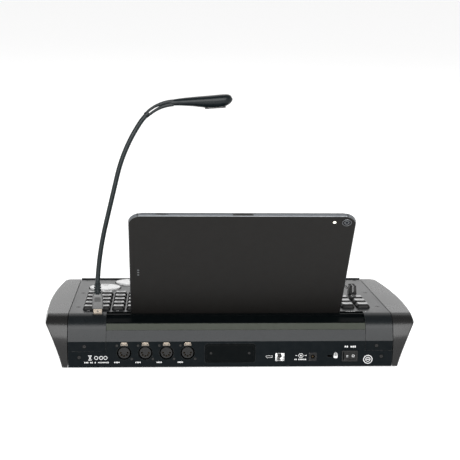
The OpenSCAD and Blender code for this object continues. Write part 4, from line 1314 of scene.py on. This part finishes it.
def make_lamp_head():
    fork = past_arc(head_start(), CROOK_LENGTH, CROOK_BEND)
    turn = HEAD_LEAN - LEANS[3] - CROOK_BEND
    paddle = past_arc(fork, FORK_LENGTH, turn)
    build = Build()
    # collar that takes the end of the neck, then two prongs with a slit between them
    collar = [shifted(fork, 0, 0, z) for z in (-5, -4.6, 0.6, 1.0)]
    tube(build, collar, (3.4, 3.9, 3.9, 3.4), 32)
    for side in (-1, 1):
        rings = []
        for k in range(25):
            share = k / 24
            place = past_arc(fork, FORK_LENGTH * share, turn * share)
            close = min(max((share - 0.3) / 0.3, 0), 1)
            inner = 0.7 * (1 - close * close * (3 - 2 * close)) - 0.3 * close
            outer = (4.1 + 0.4 * share) * (0.85 if k == 0 else 1)
            outline = rounded_rect(outer - inner, 7.4 + 1.4 * share, 1.3)
            middle = side * (outer + inner) / 2
            rings.append([place @ Vector((middle + x, y, 0)) for x, y in outline])
        build.loft(rings, Matrix.Identity(4), 0)
    rings = []
    for share, up, down, half in smooth_sections(HEAD_SECTIONS, 40):
        z = -4 + share * (HEAD_LENGTH + 1.5)
        ring = []
        for j in range(40):
            a = 2 * math.pi * j / 40
            c, s = math.cos(a), math.sin(a)
            x = (down if c > 0 else up) * math.copysign(abs(c) ** 0.82, c)
            y = half * math.copysign(abs(s) ** 0.9, s)
            ring.append((x, y, z))
        rings.append(ring)
    build.loft(rings, paddle, 0)
    piece(
        "lamp_head_shell", build, "lamp_head", [LAMP_SKIN], ["lamp_head"], sharp=45
    )
    build = Build()
    low, high = islands("lamp_lens", paddle)[0]
    length = high.z - low.z
    window = turned(shifted(paddle, high.x + 1.5, 0, (low.z + high.z) / 2), 90, "Y")
    build.block((length, 11), -1.6, -0.7, window, 0, 5.2, 0.3)
    rim = Build()
    rings = [
        rounded_ring(length + wider, 11 + wider, corner, z, 8)
        for wider, corner, z in (
            (0.2, 5.3, -1.6), (0.2, 5.3, -0.6), (0.8, 5.6, -0.4), (1.6, 6, -0.7), (1.8, 6.1, -2.6),
        )
    ]
    rim.loft(rings, window, 0)
    piece("lamp_window", build, "lamp_head", [LENS], ["lamp_lens"])
    piece("lamp_window_rim", rim, "lamp_head", [SATIN_BLACK])


# ---- tablet


TABLET_CORNER = 15.5
FLASH_RADIUS = 1.8  # the flash is wider than this, the contacts are narrower


def tablet_place():
    """Local X across, Y up the back and Z out of the glass, from the back's lower edge."""
    across = sum(span("tablet_shell", ACROSS)) / 2
    up = span("tablet_shell", TABLET_UP)[0]
    front = span("tablet_shell", TABLET_FRONT)[0]
    origin = (ACROSS * across + TABLET_UP * up + TABLET_FRONT * front) * MM
    return axes_at(origin, ACROSS, TABLET_UP, TABLET_FRONT)


def make_tablet():
    place = tablet_place()
    low, high = islands("tablet_shell", place)[0]
    width, height, thick = high.x - low.x, high.y - low.y, high.z - low.z
    middle = shifted(place, 0, height / 2)
    corner = TABLET_CORNER
    build = Build()
    rings = []
    for z, inset in (
        (0.0, 1.3), (0.05, 0.9), (0.22, 0.5), (0.5, 0.2), (0.9, 0.03), (1.3, 0), (thick - 0.7, 0),
        (thick - 0.35, 0.06), (thick - 0.1, 0.25), (thick, 0.5),
    ):
        rings.append(rounded_ring(width - 2 * inset, height - 2 * inset, corner - inset, z, 16))
    build.loft(rings, middle, [0, 1, 1, 1, 2, 2, 1, 1, 1])
    piece(
        "tablet_body", build, "tablet", [TABLET_SKIN, TABLET_RIM, TABLET_SIDE],
        ["tablet_shell"],
        sharp=50,
    )
    keep("tablet_glass", GLASS, 0.15)

    # camera: a raised ring with a glass eye in it, a flash and three contacts
    build = Build()
    parts = sorted(islands("tablet_camera", place), key=lambda b: -(b[1].x - b[0].x))
    for number, (low, high) in enumerate(parts):
        mid = (low + high) / 2
        spot = turned(shifted(place, mid.x, mid.y), 180, "X")
        r = high.x - mid.x
        if number > 0:
            profile = [(r, -0.4), (r, -0.02), (r - 0.15, 0.04), (r * 0.5, 0.05), (0.01, 0.06)]
            build.lathe(profile, spot, 1 if r > FLASH_RADIUS else 0, 32)
            continue
        eye = shifted(spot, 0, 0, -low.z)
        inner = r - 0.85
        ring = [(r, low.z - 0.5), (r, -0.25), (r - 0.2, 0), (r - 0.7, 0), (inner, -0.15), (inner, -0.4)]
        build.lathe(ring, eye, 0, 48, end=False)
        build.lathe([(inner, -0.4), (3.2, -0.38), (0.01, -0.38)], eye, 2, 48)
        build.lathe([(3.1, -0.5), (3.1, -0.3), (2.7, -0.25), (2.6, -0.36)], eye, 0, 40)
        build.lathe([(2.0, -0.5), (1.9, -0.3), (1.0, -0.16), (0.01, -0.12)], eye, 2, 32)
    piece(
        "tablet_camera_parts", build, "tablet", [TABLET_RIM, LENS, CAMERA_BLACK],
        ["tablet_camera"],
    )

    # dark lines across the rim, part of the way round each corner
    build = Build()
    for across in (-1, 1):
        for along in (-1, 1):
            centre = shifted(middle, across * (width / 2 - corner), along * (height / 2 - corner))
            for degrees in (15, 75):
                line = shifted(turned(centre, -across * along * degrees, "Z"), 0, along * (corner - 0.5))
                build.block((1.2, 1.2), -0.02, thick - 0.3, line, 0, 0.05, 0.02)
    pencil = shifted(middle, 0, height / 2 - 0.9, thick / 2)
    build.block((25.6, 2.0), -1.9, 1.9, pencil, 0, 0.6, 0.15)
    piece("tablet_rim_lines", build, "tablet", [TABLET_LINE])
    keep("tablet_button", TABLET_RIM, 0.3, 3)


# ---- stage


def make_stage():
    size = 14.0
    mesh = bpy.data.meshes.new("floor")
    corners = [(x * size, y * size, cad_box[0].z) for x, y in ((-1, -1), (1, -1), (1, 1), (-1, 1))]
    mesh.from_pydata(corners, [], [(0, 1, 2, 3)])
    floor = bpy.data.objects.new("floor", mesh)
    bpy.context.scene.collection.objects.link(floor)
    n = Nodes("floor_paper")
    n.set(
        Base_Color=n.mix(n.noise(2, 3.0), grey(0.56), grey(0.58)),
        Roughness=0.9,
        Emission_Color=grey(1.0),
        Emission_Strength=0.68,
        Specular_IOR_Level=0.1,
    )
    mesh.materials.append(n.material)


def area_light(name, place, target, size, radiance):
    light = bpy.data.lights.new(name, "AREA")
    light.shape = "RECTANGLE"
    light.size, light.size_y = size
    light.energy = radiance * math.pi * size[0] * size[1]
    holder = bpy.data.objects.new(name, light)
    holder.location = place
    holder.rotation_euler = (Vector(target) - Vector(place)).to_track_quat("-Z", "Y").to_euler()
    bpy.context.scene.collection.objects.link(holder)


def make_lights():
    world = bpy.data.worlds.new("studio")
    bpy.context.scene.world = world
    world.use_nodes = True
    tree = world.node_tree
    direction = tree.nodes.new("ShaderNodeTexCoord").outputs["Generated"]
    split = tree.nodes.new("ShaderNodeSeparateXYZ")
    tree.links.new(direction, split.inputs[0])
    ramp = tree.nodes.new("ShaderNodeValToRGB")
    ramp.color_ramp.elements[0].position = 0.0
    ramp.color_ramp.elements[0].color = grey(1.0)
    ramp.color_ramp.elements[1].position = 0.8
    ramp.color_ramp.elements[1].color = grey(0.16)
    ramp.color_ramp.elements.new(0.22).color = grey(0.8)
    ramp.color_ramp.elements.new(0.45).color = grey(0.3)
    tree.links.new(split.outputs["Z"], ramp.inputs[0])
    tree.links.new(ramp.outputs[0], tree.nodes["Background"].inputs["Color"])
    tree.nodes["Background"].inputs["Strength"].default_value = 1.45
    centre = ORIGIN + Vector((0, 0.12, 0.05))
    area_light("key_softbox", ORIGIN + Vector((0, -1.84, 1.25)), centre, (3.0, 1.6), 8.2)
    area_light("front_softbox", ORIGIN + Vector((0.4, 2.2, 1.9)), centre, (2.4, 1.2), 1.1)


def make_camera():
    camera = bpy.data.cameras.new("camera")
    camera.sensor_width = 36
    camera.lens = 93.295
    camera.clip_start = 0.05
    camera.clip_end = 60
    holder = bpy.data.objects.new("camera", camera)
    yaw, pitch, roll = math.radians(3.343), math.radians(14.976), math.radians(0.956)
    aim = Vector((math.sin(yaw) * math.cos(pitch), math.cos(yaw) * math.cos(pitch), -math.sin(pitch)))
    right = aim.cross(Vector((0, 0, 1))).normalized()
    up = right.cross(aim)
    level = right * math.cos(roll) + up * math.sin(roll)
    turn = Matrix((level, level.cross(aim), -aim)).transposed().to_4x4()
    holder.matrix_world = Matrix.Translation(ORIGIN + Vector((-0.091, -1.482, 0.5855))) @ turn
    bpy.context.scene.collection.objects.link(holder)
    bpy.context.scene.camera = holder
    bpy.context.scene.view_settings.view_transform = "Standard"


keep_case()
make_cheeks()
make_latches()
print_rear()
painted_screw_shade()
print_rocker()
print_deck()
make_keys()
make_faders()
make_wheels()
make_neck()
make_lamp_base()
make_lamp_head()
make_tablet()
make_stage()
make_lights()
make_camera()
